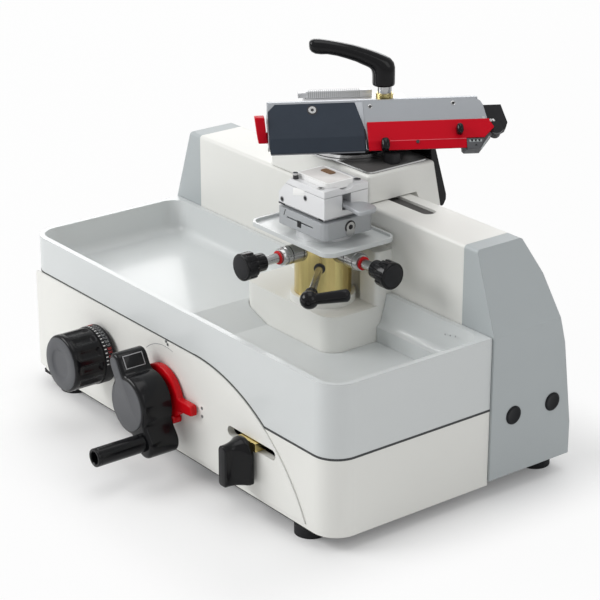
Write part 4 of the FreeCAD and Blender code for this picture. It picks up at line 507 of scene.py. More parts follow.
class Piece:
    """A mesh drawn in a seat's millimetres."""

    def __init__(self, name: str, place: Seat) -> None:
        """Start an empty mesh.

        Args:
            name: the piece's name.
            place: the seat that it is drawn in.
        """
        self.name = name
        self.place = place.matrix()
        self.mesh = bmesh.new()

    def loft(self, rings: list[list[Vector]]) -> "Piece":
        """Skin a row of rings that all have the same number of points, and close its ends.

        Args:
            rings: the rings, from first to last.

        Returns:
            The piece.
        """
        rows = [[self.mesh.verts.new(spot) for spot in ring] for ring in rings]
        for low, high in zip(rows, rows[1:]):
            for index in range(len(low)):
                following = (index + 1) % len(low)
                self.mesh.faces.new((low[index], low[following], high[following], high[index]))
        self.mesh.faces.new(list(reversed(rows[0])))
        self.mesh.faces.new(rows[-1])
        return self

    def swept(self, radius: Callable[[float, float, float], float], levels: list[Point2],
              steps: int = 120) -> "Piece":
        """Loft a shape that is star-like about the seat's third axis.

        Args:
            radius: gives the radius at an angle, a height and an inset.
            levels: pairs of height and inset, from low to high.
            steps: how many points go round.

        Returns:
            The piece.
        """
        rings = []
        for height, inset in levels:
            reaches = [(turn, radius(turn, height, inset)) for turn in around(steps)]
            rings.append([Vector((reach * math.cos(turn), reach * math.sin(turn), height))
                          for turn, reach in reaches])
        return self.loft(rings)

    def lathe(self, profile: list[Point2], steps: int = 64, spot: Point2 = (0.0, 0.0),
              axis: str = "z") -> "Piece":
        """Turn a profile of radius and place along a line.

        Args:
            profile: pairs of radius and place along the line.
            steps: how many points go round.
            spot: where the line stands in the two other axes.
            axis: the line's direction: x, y or z.

        Returns:
            The piece.
        """
        order = {"z": (0, 1, 2), "x": (2, 0, 1), "y": (1, 2, 0)}[axis]
        rings = []
        for radius, along in profile:
            spots = [(spot[0] + radius * math.cos(turn), spot[1] + radius * math.sin(turn), along)
                     for turn in around(steps)]
            rings.append([Vector([parts[index] for index in order]) for parts in spots])
        return self.loft(rings)

    def prism(self, outline: list[Point2], low: float, high: float, plane: str = "xy") -> "Piece":
        """Add a straight prism on an outline.

        Args:
            outline: the outline's corners.
            low: where it starts along the third axis.
            high: where it ends.
            plane: the outline's plane: xy, xz or yz.

        Returns:
            The piece.
        """
        order = {"xy": lambda a, b, c: (a, b, c), "xz": lambda a, b, c: (a, c, b),
                 "yz": lambda a, b, c: (c, a, b)}[plane]
        return self.loft([[Vector(order(a, b, level)) for a, b in outline]
                          for level in (low, high)])

    def block(self, low: Point3, high: Point3) -> "Piece":
        """Add a block between two corners."""
        return self.prism([(low[0], low[1]), (high[0], low[1]), (high[0], high[1]),
                           (low[0], high[1])], low[2], high[2])

    def strip(self, path: list[Vector], across: Vector | list[Vector], width: float,
              thick: float) -> "Piece":
        """Add a thin band that follows a path.

        Args:
            path: the points along its middle.
            across: the way its width runs, for all points or for each.
            width: its width.
            thick: its thickness, along the normal of the path and the width.

        Returns:
            The piece.
        """
        rings = []
        sides = across if isinstance(across, list) else [across] * len(path)
        for index, (spot, side) in enumerate(zip(path, sides)):
            ahead = path[min(index + 1, len(path) - 1)] - path[max(index - 1, 0)]
            out = ahead.cross(side).normalized() * thick / 2.0
            half = side.normalized() * width / 2.0
            rings.append([spot - half - out, spot + half - out, spot + half + out,
                          spot - half + out])
        return self.loft(rings)

    def figure(self, words: str, tall: float, slim: float, matrix: Matrix,
               thick: float) -> "Piece":
        """Add a printed figure.

        Args:
            words: the figure's characters.
            tall: its height.
            slim: its width as a share of the usual width.
            matrix: where it lies, from its own plane to the seat.
            thick: how far it stands proud.

        Returns:
            The piece.
        """
        curve = bpy.data.curves.new("figure", "FONT")
        curve.body = words
        curve.size = tall * 1.4
        curve.resolution_u = 2
        curve.align_x = "CENTER"
        curve.align_y = "CENTER"
        curve.extrude = thick / 2.0
        holder = bpy.data.objects.new("figure", curve)
        bpy.context.scene.collection.objects.link(holder)
        bpy.context.view_layer.update()
        data = bpy.data.meshes.new_from_object(
            holder.evaluated_get(bpy.context.evaluated_depsgraph_get()))
        data.transform(matrix @ Matrix.Diagonal((slim, 1.0, 1.0, 1.0)))
        self.mesh.from_mesh(data)
        bpy.data.objects.remove(holder)
        bpy.data.meshes.remove(data)
        bpy.data.curves.remove(curve)
        return self

    def moved(self, matrix: Matrix) -> "Piece":
        """Move what is drawn so far by a matrix in the seat's millimetres."""
        bmesh.ops.transform(self.mesh, matrix=matrix, verts=self.mesh.verts)
        return self

    def done(self, material: bpy.types.Material, body: str, replaces: tuple[str, ...] = (),
             bevel: float = 0.0, angle: float = SHARP_ANGLE) -> bpy.types.Object:
        """Turn the drawing into a finished object that rides on a body.

        Args:
            material: its material.
            body: the body that it rides on.
            replaces: the CAD nodes that it stands for.
            bevel: the width of the rounded edges in millimetres.
            angle: the sharpest edge in degrees that is still shaded smooth.

        Returns:
            The object.
        """
        bmesh.ops.remove_doubles(self.mesh, verts=self.mesh.verts, dist=0.0005)
        bmesh.ops.recalc_face_normals(self.mesh, faces=self.mesh.faces)
        bmesh.ops.transform(self.mesh, matrix=self.place, verts=self.mesh.verts)
        data = bpy.data.meshes.new(self.name)
        self.mesh.to_mesh(data)
        self.mesh.free()
        piece = bpy.data.objects.new(self.name, data)
        bpy.context.scene.collection.objects.link(piece)
        if bevel > 0.0:
            rounding = piece.modifiers.new("rounding", "BEVEL")
            rounding.width = bevel * MM
            rounding.segments = 3
            rounding.limit_method = "ANGLE"
            rounding.angle_limit = math.radians(30.0)
            rounding.use_clamp_overlap = True
            solid = bpy.data.meshes.new_from_object(
                piece.evaluated_get(bpy.context.evaluated_depsgraph_get()))
            piece.modifiers.clear()
            piece.data = solid
        return dress(piece, material, body, replaces, angle)


def dress(piece: bpy.types.Object, material: bpy.types.Material, body: str,
          replaces: tuple[str, ...] = (), angle: float = SHARP_ANGLE) -> bpy.types.Object:
    """Give a finished mesh its material and its body.

    Args:
        piece: the object.
        material: its material.
        body: the body that it rides on.
        replaces: the CAD nodes that it stands for.
        angle: the sharpest edge in degrees that is still shaded smooth.

    Returns:
        The object.
    """
    piece.data.materials.clear()
    piece.data.materials.append(material)
    piece.data.polygons.foreach_set("use_smooth", [True] * len(piece.data.polygons))
    piece.data.set_sharp_from_angle(angle=math.radians(angle))
    if replaces:
        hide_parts(*replaces)
    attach(piece, body)
    LOG.info("%s: %d faces on %s", piece.name, len(piece.data.polygons), body)
    return piece


class Pattern(Nodes):
    """A Geometry Nodes tree that copies one small shape many times."""

    def __init__(self, name: str, sizes: dict[str, str]) -> None:
        """Start a tree with named inputs.

        Args:
            name: the tree's name.
            sizes: the kind of socket of each named input.
        """
        super().__init__(bpy.data.node_groups.new(name, "GeometryNodeTree"))
        face = self.tree.interface
        for way in ("OUTPUT", "INPUT"):
            face.new_socket(name="Geometry", in_out=way, socket_type="NodeSocketGeometry")
        self.keys = {label: face.new_socket(name=label, in_out="INPUT",
                                            socket_type="NodeSocket" + kind).identifier
                     for label, kind in (sizes | {"Material": "Material"}).items()}
        self.given = self.node("NodeGroupInput").outputs

    def close(self, copies: bpy.types.NodeSocket) -> None:
        """End the tree with real geometry in one material."""
        real = self.node("GeometryNodeRealizeInstances", Geometry=copies)
        painted = self.node("GeometryNodeSetMaterial", Geometry=real.outputs[0],
                            Material=self.given["Material"])
        self.node("NodeGroupOutput", i0=painted.outputs[0])

    def make(self, name: str, place: Seat, spots: list[Point3],
             values: dict[str, object]) -> bpy.types.Object:
        """Run the tree and return its result as a plain mesh in the machine's frame.

        Args:
            name: the new object's name.
            place: the seat that the spots lie in.
            spots: the points that the tree works on.
            values: a value for each named input.

        Returns:
            The object.
        """
        host = bpy.data.meshes.new(name)
        host.from_pydata(spots, [], [])
        piece = bpy.data.objects.new(name, host)
        bpy.context.scene.collection.objects.link(piece)
        grower = piece.modifiers.new("pattern", "NODES")
        grower.node_group = self.tree
        for label, value in values.items():
            grower[self.keys[label]] = value
        solid = bpy.data.meshes.new_from_object(
            piece.evaluated_get(bpy.context.evaluated_depsgraph_get()))
        piece.modifiers.clear()
        solid.transform(place.matrix())
        piece.data = solid
        return piece


def stud_pattern() -> Pattern:
    """Return the tree that stands a low many-sided stud on every point."""
    pattern = Pattern("studs", {"Sides": "Int", "Radius": "Float", "Height": "Float",
                                "Turn": "Vector"})
    given = pattern.given
    stud = pattern.node("GeometryNodeMeshCylinder", Vertices=given["Sides"],
                        Radius=given["Radius"], Depth=given["Height"])
    half = pattern.node("ShaderNodeMath", {"operation": "MULTIPLY"}, i0=given["Height"], i1=0.5)
    lift = pattern.node("ShaderNodeCombineXYZ", Z=half.outputs[0])
    stood = pattern.node("GeometryNodeTransform", Geometry=stud.outputs[0],
                         Translation=lift.outputs[0])
    copies = pattern.node("GeometryNodeInstanceOnPoints", Points=given["Geometry"],
                          Instance=stood.outputs[0], Rotation=given["Turn"])
    pattern.close(copies.outputs[0])
    return pattern


def fan_pattern() -> Pattern:
    """Return the tree that sets bars round a circle, each facing outwards."""
    pattern = Pattern("fan of bars", {"Count": "Int", "Radius": "Float", "Size": "Vector",
                                      "Level": "Float", "Kept": "Int"})
    given = pattern.given
    bar = pattern.node("GeometryNodeMeshCube", Size=given["Size"])
    circle = pattern.node("GeometryNodeMeshCircle", Vertices=given["Count"],
                          Radius=given["Radius"])
    place = pattern.node("GeometryNodeInputIndex")
    share = pattern.node("ShaderNodeMath", {"operation": "DIVIDE"}, i0=place.outputs[0],
                         i1=given["Count"])
    turn = pattern.node("ShaderNodeMath", {"operation": "MULTIPLY"}, i0=share.outputs[0],
                        i1=FULL_TURN)
    spin = pattern.node("ShaderNodeCombineXYZ", Z=turn.outputs[0])
    wanted = pattern.node("ShaderNodeMath", {"operation": "LESS_THAN"}, i0=place.outputs[0],
                          i1=given["Kept"])
    copies = pattern.node("GeometryNodeInstanceOnPoints", Points=circle.outputs[0],
                          Selection=wanted.outputs[0], Instance=bar.outputs[0],
                          Rotation=spin.outputs[0])
    lift = pattern.node("ShaderNodeCombineXYZ", Z=given["Level"])
    raised = pattern.node("GeometryNodeTransform", Geometry=copies.outputs[0],
                          Translation=lift.outputs[0])
    pattern.close(raised.outputs[0])
    return pattern


class Workshop:
    """Holds the finishes and the repeating patterns that every piece draws on."""

    def __init__(self) -> None:
        """Build the patterns and start the wardrobe."""
        self.wardrobe = Wardrobe()
        self.studs = stud_pattern()
        self.fan = fan_pattern()

    def look(self, look: Look) -> bpy.types.Material:
        """Return a finish's material."""
        return self.wardrobe.get(look)

    def stud_row(self, name: str, place: Seat, spots: list[Point3], radius: float,
                 height: float, look: Look, body: str, sides: int = 32,
                 turn: Point3 = (0.0, 0.0, 0.0)) -> bpy.types.Object:
        """Stand equal studs on points.

        Args:
            name: the piece's name.
            place: the seat that the points lie in.
            spots: the points.
            radius: each stud's radius.
            height: each stud's height.
            look: its finish.
            body: the body that it rides on.
            sides: how many sides each stud has.
            turn: the studs' turn in degrees about the three axes.

        Returns:
            The object.
        """
        material = self.look(look)
        piece = self.studs.make(name, place, spots, {
            "Sides": sides, "Radius": radius, "Height": height,
            "Turn": tuple(math.radians(part) for part in turn), "Material": material})
        return dress(piece, material, body)

    def stud_rows(self, place: Seat, body: str, *rows: tuple) -> None:
        """Stand several rows of studs.

        Args:
            place: the seat that the points lie in.
            body: the body that they ride on.
            rows: each row's name, points, radius, height, look, sides and turn.
        """
        for name, spots, radius, height, look, *rest in rows:
            self.stud_row(name, place, spots, radius, height, look, body, *rest)

    def bar_fan(self, name: str, place: Seat, count: int, kept: int, radius: float,
                size: Point3, level: float, look: Look, body: str) -> bpy.types.Object:
        """Set equal bars round a circle about the seat's third axis.

        Args:
            name: the piece's name.
            place: the seat.
            count: how many bars a full circle has.
            kept: how many of them, counted from the first axis, are made.
            radius: the circle's radius.
            size: each bar's size outwards, round and along the axis.
            level: the circle's height.
            look: the bars' finish.
            body: the body that they ride on.

        Returns:
            The object.
        """
        material = self.look(look)
        piece = self.fan.make(name, place, [(0.0, 0.0, 0.0)], {
            "Count": count, "Radius": radius, "Size": size, "Level": level, "Kept": kept,
            "Material": material})
        return dress(piece, material, body)


@dataclass
class ThicknessKnob:
    """The fluted section thickness knob and the scale on its drum."""

    radius: float = 24.9
    start: float = 14.1
    depth: float = 29.4
    flutes: int = 12
    flute_deep: float = 2.0
    flute_half: float = 0.30
    flute_end: float = 2.6
    cap_radius: float = 22.9
    dish_radius: float = 13.2
    drum_radius: float = 25.4
    ticks: int = 48
    marked: int = 34
    tick_level: float = 12.7
    figure_level: float = 8.9
    figure_tall: float = 3.9

    def build(self, shop: Workshop) -> None:
        """Make the knob, its grey cap, the printed scale and its pointer."""
        low, high = self.start + 3.2, self.start + self.depth - 5.0

        def wall(angle: float, height: float, inset: float) -> float:
            """Return the knob's radius, lower inside a flute."""
            ends = ramp(height - low, self.flute_end) * ramp(high - height, self.flute_end)
            dish = flute_depth(angle, self.flutes, self.flute_half) * math.sin(ends * math.pi / 2.0)
            return self.radius - inset - self.flute_deep * dish

        top = self.start + self.depth
        middle = [(low + (high - low) * step / 16.0, 0.0) for step in range(17)]
        levels = rims(self.start, top, 0.8, 2.4)
        levels = levels[:6] + middle + levels[6:]
        Piece("thickness_grip", Seat.THICKNESS).swept(wall, levels, 288).done(
            shop.look(Look.GLOSS_BLACK), "thickness", ("thickness_knob",), angle=50.0)
        dish = self.dish_radius
        cap = [(self.cap_radius, top - 1.0), (self.cap_radius, top + 0.7),
               (self.cap_radius - 0.5, top + 1.0), (dish + 0.5, top + 1.0), (dish, top + 0.7),
               (dish - 0.7, top + 0.1), (dish * 0.6, top + 0.03), (0.0, top + 0.02)]
        Piece("thickness_cap", Seat.THICKNESS).lathe(cap, 96).done(
            shop.look(Look.GREY_CAP), "thickness", angle=50.0)
        # The ticks and figures stop short of the lower third of the drum, whose bare black there is
        # painted shade from the crank's shadow.
        shop.bar_fan("thickness_ticks", Seat.THICKNESS, self.ticks, self.marked, self.drum_radius,
                     (0.16, 0.85, 2.0), self.tick_level, Look.PRINT_WHITE, "thickness")
        white = Piece("thickness_figures", Seat.THICKNESS)
        red = Piece("thickness_red_figures", Seat.THICKNESS)
        for index in range(self.marked):
            spin = 2.0 * math.pi * index / self.ticks
            out = Vector((math.cos(spin), math.sin(spin), 0.0))
            spot = Matrix(((out.y, 0.0, out.x, out.x * self.drum_radius),
                           (-out.x, 0.0, out.y, out.y * self.drum_radius),
                           (0.0, -1.0, 0.0, self.figure_level), (0.0, 0.0, 0.0, 1.0)))
            sheet = red if index % 12 in (2, 3, 4) else white
            sheet.figure(str(self.marked - index), self.figure_tall, 0.42, spot, 0.1)
        white.done(shop.look(Look.PRINT_GREY), "thickness")
        red.done(shop.look(Look.PRINT_RED), "thickness")
        pointer = Piece("thickness_pointer", Seat.THICKNESS)
        pointer.block((-0.7, -2.2, -0.1), (0.7, 2.2, 0.35)).moved(
            Matrix.Translation((29.5, -9.0, 1.2)) @ Matrix.Rotation(math.radians(-16.0), 4, "Z"))
        pointer.done(shop.look(Look.PRINT_WHITE), "machine", bevel=0.15)
        drum = self.drum_radius
        Piece("drum_groove", Seat.THICKNESS).lathe(
            [(drum + 0.04, 5.2), (drum + 0.04, 5.8), (drum - 0.8, 5.8), (drum - 0.8, 5.2)],
            96).done(shop.look(Look.DULL_BLACK), "thickness")


@dataclass
class FeedCrank:
    """The feed crank with its grey face and hollow grip, and the red ring behind it.

    Each arm is given as its direction in degrees, half its width and its reach.
    """

    back: float = 12.0
    front: float = 40.0
    hub_radius: float = 25.0
    upper: Point3 = (119.0, 8.4, 36.0)
    lower: Point3 = (-51.4, 11.0, 36.0)
    web: float = 7.0
    rim: float = 3.0
    face_inset: float = 3.3
    face_rise: float = 0.8
    grip_circle: float = 33.0
    grip_radius: float = 7.8
    grip_bore: float = 5.3
    grip_end: float = 86.0
    ring_low: float = 2.4
    ring_high: float = 8.4
    ring_radius: float = 27.6
    ring_low_radius: float = 21.5
    tab: Point3 = (2.4, 5.2, 46.0)
    tab_web: float = 6.0
    low_from: float = 0.25
    low_to: float = 3.4
    low_ease: float = 0.5

    def outline(self, angle: float, height: float, inset: float) -> float:
        """Return the crank's radius in a direction."""
        arms = [lobe_radius(angle, toward, half - inset, reach)
                for toward, half, reach in (self.upper, self.lower)]
        return soft_most(self.hub_radius - inset, max(arms), self.web)

    def face(self, angle: float, height: float, inset: float) -> float:
        """Return the grey face's radius, which leaves out the lower lobe."""
        toward, half, reach = self.upper
        arm = lobe_radius(angle, toward, half - inset, reach)
        return soft_most(self.hub_radius - inset, arm, self.web)

    def build(self, shop: Workshop) -> None:
        """Make the crank, its face, its recess, the grip and the red ring."""
        black = shop.look(Look.GLOSS_BLACK)
        Piece("feed_crank", Seat.CRANK).swept(
            self.outline, rims(self.back, self.front, 1.2, self.rim), 240).done(
            black, "crank", ("crank_body",), angle=50.0)
        Piece("crank_plate", Seat.CRANK).swept(
            self.face, [(self.front - 0.4, self.face_inset), (self.front + 0.35, self.face_inset),
                        (self.front + self.face_rise, self.face_inset + 0.5)], 200).done(
            shop.look(Look.GREY_CAP), "crank", ("crank_face",))
        toward = math.radians(self.upper[0])
        frame_mat = (Matrix.Rotation(toward, 4, "Z")
                     @ Matrix.Translation((36.0, -self.upper[1], 26.0)))
        Piece("crank_frame", Seat.CRANK).block((-8.0, -0.18, -9.5), (3.4, 0.6, 9.5)).moved(
            frame_mat).done(shop.look(Look.EDGE_GREY), "crank", bevel=0.15)
        Piece("crank_recess", Seat.CRANK).block((-7.3, -0.26, -8.8), (2.7, 0.6, 8.8)).moved(
            frame_mat).done(black, "crank", bevel=0.15)
        angle = math.radians(self.lower[0])
        spot = (self.grip_circle * math.cos(angle), self.grip_circle * math.sin(angle))
        radius, bore, end = self.grip_radius, self.grip_bore, self.grip_end
        front = self.front
        tube = [(3.1, front + 0.1), (radius - 0.6, front + 0.1), (radius, front + 0.7),
                (radius, end - 3.4), (radius - 0.35, end - 3.0), (radius - 0.35, end - 2.5),
                (radius, end - 2.1), (radius, end - 0.8), (radius - 0.3, end - 0.2),
                (radius - 0.9, end), (bore + 0.7, end), (bore, end - 0.7), (bore, end - 30.0),
                (3.1, end - 30.0), (3.1, front + 0.1)]
        Piece("crank_tube", Seat.CRANK).lathe(tube, 64, spot).done(
            black, "crank_grip", ("crank_handle",), angle=32.0)
        core = [(2.9, self.front - 1.0), (2.9, end - 29.4), (2.3, end - 28.8), (0.0, end - 28.8)]
        Piece("crank_core", Seat.CRANK).lathe(core, 40, spot).done(shop.look(Look.STEEL), "crank")
        self.red_ring(shop)

    def red_ring(self, shop: Workshop) -> None:
        """Make the red ring with its squared tab and its pin."""
        toward, half, reach = self.tab

        def wall(angle: float, height: float, inset: float) -> float:
            """Return the ring's radius, drawn out at the tab and drawn in below it."""
            off = away(angle, toward)
            tip = 0.0
            if abs(off) < math.pi / 3.0:
                width = (half - inset) / max(abs(math.sin(off)), 1e-6)
                long = (reach - inset) / math.cos(off)
                tip = (width ** -10.0 + long ** -10.0) ** -0.1
            below = (math.radians(toward) - angle) % FULL_TURN
            share = (ramp(below - self.low_from, self.low_ease)
                     * ramp(self.low_to - below, self.low_ease))
            ease = share * share * (3.0 - 2.0 * share)
            ring = self.ring_radius + (self.ring_low_radius - self.ring_radius) * ease
            return soft_most(ring - inset, tip, self.tab_web)

        low, high = self.ring_low, self.ring_high
        red = shop.look(Look.RED_PLASTIC)
        Piece("mode_lever", Seat.CRANK).swept(wall, rims(low, high, 0.8, 1.6), 288).done(
            red, "mode", ("mode_ring",), angle=50.0)
        Piece("mode_pin", Seat.CRANK).lathe(
            [(0.0, low), (3.2, low), (3.2, high + 1.2), (2.6, high + 2.0), (1.3, high + 2.2),
             (1.1, high + 1.8), (0.0, high + 1.8)], 40, (20.2, -14.2)).done(red, "mode")
        self.printed_arc(shop)

    def printed_arc(self, shop: Workshop) -> None:
        """Print the thin arc and its plain marks on the panel round the crank."""
        sheet = Piece("mode_scale", Seat.CRANK)
        radius, level = 42.6, 1.23
        curve = arc((0.0, 0.0), radius, radius, 131.0, 75.0, 40)
        sheet.strip([Vector((across, up, level)) for across, up in curve],
                    [Vector((across, up, 0.0)) for across, up in curve], 0.55, 0.06)
        for angle, reach in ((85.0, 45.6), (88.0, 47.4), (6.0, 51.4), (-2.0, 51.4)):
            turn = math.radians(angle)
            sheet.lathe([(1.5, level - 0.03), (1.5, level + 0.03), (1.0, level + 0.03),
                         (1.0, level - 0.03)], 24,
                        (reach * math.cos(turn), reach * math.sin(turn)))
        sheet.done(shop.look(Look.PRINT_GREY), "machine")


@dataclass
class TiltKnob:
    """One fluted knob on a tilting spindle, with the spindle's red ring and dark seams."""

    name: str
    node: str
    body: str
    axis: str
    start: float
    ring_at: float
    seam_at: float = 36.0
    inner_seam: float = 25.2
    seam_radius: float = 7.85
    height: float = 176.5
    neck: float = 7.5
    neck_long: float = 11.0
    head: float = 11.3
    head_long: float = 11.5
    flutes: int = 10
    flute_deep: float = 0.95
    flute_half: float = 0.17

    def build(self, shop: Workshop) -> None:
        """Make the knob and the rings on its spindle."""
        turn = (Matrix.Translation((0.0, 0.0, self.height))
                @ Matrix.Rotation(math.radians(90.0), 4, "X" if self.axis == "y" else "Y"))
        step = self.start + self.neck_long
        end = step + self.head_long

        def wall(angle: float, height: float, inset: float) -> float:
            """Return the knob's radius at a place along it."""
            dish = self.flute_deep * flute_depth(angle, self.flutes, self.flute_half)
            fade = ramp(end - 3.0 - height, 1.5)
            stout = self.neck if height < step else self.head
            return stout - inset - (dish * fade if height > self.start + 1.0 else 0.0)

        tip = rims(step, end, 0.9, 1.3, 4)
        levels = rims(self.start, step - 0.02, 0.8, 0.0, 3) + tip[:-5]
        levels += [(end - back, 0.0) for back in (5.0, 4.0, 3.0, 2.2)] + tip[-5:]
        Piece(self.name + "_grip", Seat.COLUMN).swept(wall, levels, 200).moved(turn).done(
            shop.look(Look.GLOSS_BLACK), self.body, (self.node,), angle=42.0)
        ring, seam, face = self.ring_at, self.seam_at, self.head - 2.0
        wide, slim = self.seam_radius, self.seam_radius - 0.6
        seams = [[(slim, place - 0.35), (wide, place - 0.35), (wide, place + 0.35),
                  (slim, place + 0.35)] for place in (seam, self.inner_seam)]
        for name, look, body, steps, profiles in (
                ("_face", Look.DULL_BLACK, self.body, 64,
                 [[(0.0, end - 0.5), (face, end - 0.5), (face, end + 0.12),
                   (face - 0.3, end + 0.25), (0.0, end + 0.25)]]),
                ("_ring", Look.RED_PLASTIC, "column", 48,
                 [[(4.0, ring - 0.6), (5.4, ring - 0.6), (5.7, ring - 0.3), (5.7, ring + 0.3),
                   (5.4, ring + 0.6), (4.0, ring + 0.6)]]),
                ("_seams", Look.DARK_STEEL, "column", 48, seams),
                ("_sleeve", Look.STEEL, "column", 56,
                 [[(5.1, seam + 0.4), (6.9, seam + 0.4), (7.1, seam + 0.8), (7.1, ring - 2.2),
                   (6.6, ring - 1.4), (5.1, ring - 1.0)]])):
            piece = Piece(self.name + name, Seat.COLUMN)
            for profile in profiles:
                piece.lathe(profile, steps)
            piece.moved(turn).done(shop.look(look), body)


TILT_KNOBS = (
    TiltKnob("front_tilt", "front_spindle_knob", "front_tilt_knob", "y", 61.4, 46.5),
    TiltKnob("right_tilt", "right_spindle_knob", "right_tilt_knob", "x", 67.0, 52.5),
)


@dataclass
class TiltLock:
    """The tilt lock: a steel stud, a ball hub with a dimple and a short thick arm."""

    height: float = 165.0
    reach: float = 92.0
    stud: float = 3.1
    ball: float = 7.6
    collar: float = 5.4
    collar_long: float = 14.0
    arm_long: float = 33.0
    arm_root: float = 4.3
    arm_tip: float = 5.2
    arm_round: float = 3.6
    arm_tilt: float = 80.0

    def build(self, shop: Workshop) -> None:
        """Make the stud and the moulded lever."""
        line = (0.0, self.height)
        Piece("lock_stud", Seat.LOCK).lathe(
            [(0.0, 13.0), (self.stud, 13.0), (self.stud, 76.0), (0.0, 76.0)], 40, line,
            "x").done(shop.look(Look.STEEL), "tilt_lock")
        Piece("lock_hole_ring", Seat.LOCK).lathe(
            [(self.stud + 0.1, 23.2), (self.stud + 1.6, 23.2), (self.stud + 1.6, 24.0),
             (self.stud + 1.2, 24.3), (self.stud + 0.1, 24.3)], 40, line, "x").done(
            shop.look(Look.DARK_STEEL), "column")
        lever = Piece("lock_grip", Seat.LOCK)
        arm = [(0.0, -3.0), (self.arm_root, -3.0)]
        for step in range(9):
            share = step / 8.0
            swell = self.arm_root + (self.arm_tip - self.arm_root) * share
            arm.append((swell, 2.0 + share * (self.arm_long - 5.6)))
        arm += arc((TINY, self.arm_long - self.arm_round), self.arm_tip, self.arm_round,
                   0.0, 90.0, 6)[1:]
        lever.lathe(arm, 48)
        lever.moved(Matrix.Translation((self.reach, 0.0, self.height))
                    @ Matrix.Rotation(math.radians(-self.arm_tilt), 4, "X"))
        dimple = self.reach + self.ball
        ball = arc((TINY, self.reach), self.ball, self.ball, -90.0, 72.0, 18)
        ball += [(2.2, dimple - 0.3), (1.9, dimple - 1.4), (TINY, dimple - 1.6)]
        lever.lathe(ball, 56, line, "x")
        neck, wide = self.reach - self.collar_long, self.collar
        lever.lathe([(TINY, neck), (wide - 0.5, neck), (wide, neck + 0.5), (wide, neck + 3.0),
                     (wide - 0.6, neck + 4.2), (wide - 0.9, neck + 7.0), (wide, neck + 10.5),
                     (TINY, neck + 12.0)], 48, line, "x")
        lever.done(shop.look(Look.GLOSS_BLACK), "tilt_lock", ("lock_lever",), angle=60.0)


@dataclass
class ClampLever:
    """The black clamping lever over the knife, with a hub and a long curved arm.

    Each station gives its section's lower and upper end along and up, and half its width.
    """

    stations: tuple[tuple[float, float, float, float, float], ...] = (
        (19.4, 288.5, 36.4, 288.5, 8.6), (18.6, 289.0, 37.2, 289.0, 9.2),
        (18.4, 290.2, 37.5, 290.2, 9.4), (18.4, 294.0, 37.5, 294.0, 9.4),
        (18.2, 298.2, 37.5, 299.5, 9.3), (17.7, 300.6, 37.4, 304.2, 9.2),
        (16.7, 302.6, 36.3, 308.0, 8.9), (14.9, 304.2, 33.6, 311.2, 8.4),
        (12.0, 305.7, 29.0, 313.8, 7.9), (8.2, 307.4, 22.6, 316.6, 7.3),
        (4.0, 309.5, 13.6, 320.0, 6.6), (-4.0, 312.4, 2.2, 323.6, 6.3),
        (-12.0, 314.9, -9.0, 326.2, 6.1), (-20.0, 316.5, -18.6, 328.2, 6.1),
        (-25.5, 316.5, -26.0, 329.4, 6.1), (-30.0, 317.2, -31.0, 329.6, 5.9),
        (-33.0, 318.8, -33.4, 328.8, 5.0), (-34.6, 320.8, -34.8, 327.2, 3.4),
        (-35.0, 323.0, -35.0, 325.4, 1.4))

    def build(self, shop: Workshop) -> None:
        """Make the lever and the dark button in its hub."""
        rings = []
        for low_u, low_z, high_u, high_z, half in self.stations:
            low, high = Vector((low_u, 0.0, low_z)), Vector((high_u, 0.0, high_z))
            middle, arm = (low + high) / 2.0, (high - low) / 2.0
            rings.append([middle + arm * along + Vector((0.0, half * out, 0.0))
                          for along, out in squircle(48, 2.0 / 2.3)])
        Piece("clamp_arm", Seat.KNIFE).loft(rings).done(
            shop.look(Look.GLOSS_BLACK), "knife_clamp", ("clamp_lever",), angle=60.0)
        Piece("clamp_button", Seat.KNIFE).lathe(
            [(3.4, 307.0), (3.4, 312.2), (3.0, 312.7), (2.2, 312.7), (1.9, 311.9), (0.0, 311.9)],
            40, (27.0, 0.0)).moved(Matrix.Translation((0.0, 0.0, -0.6))).done(
            shop.look(Look.DULL_BLACK), "knife_clamp")


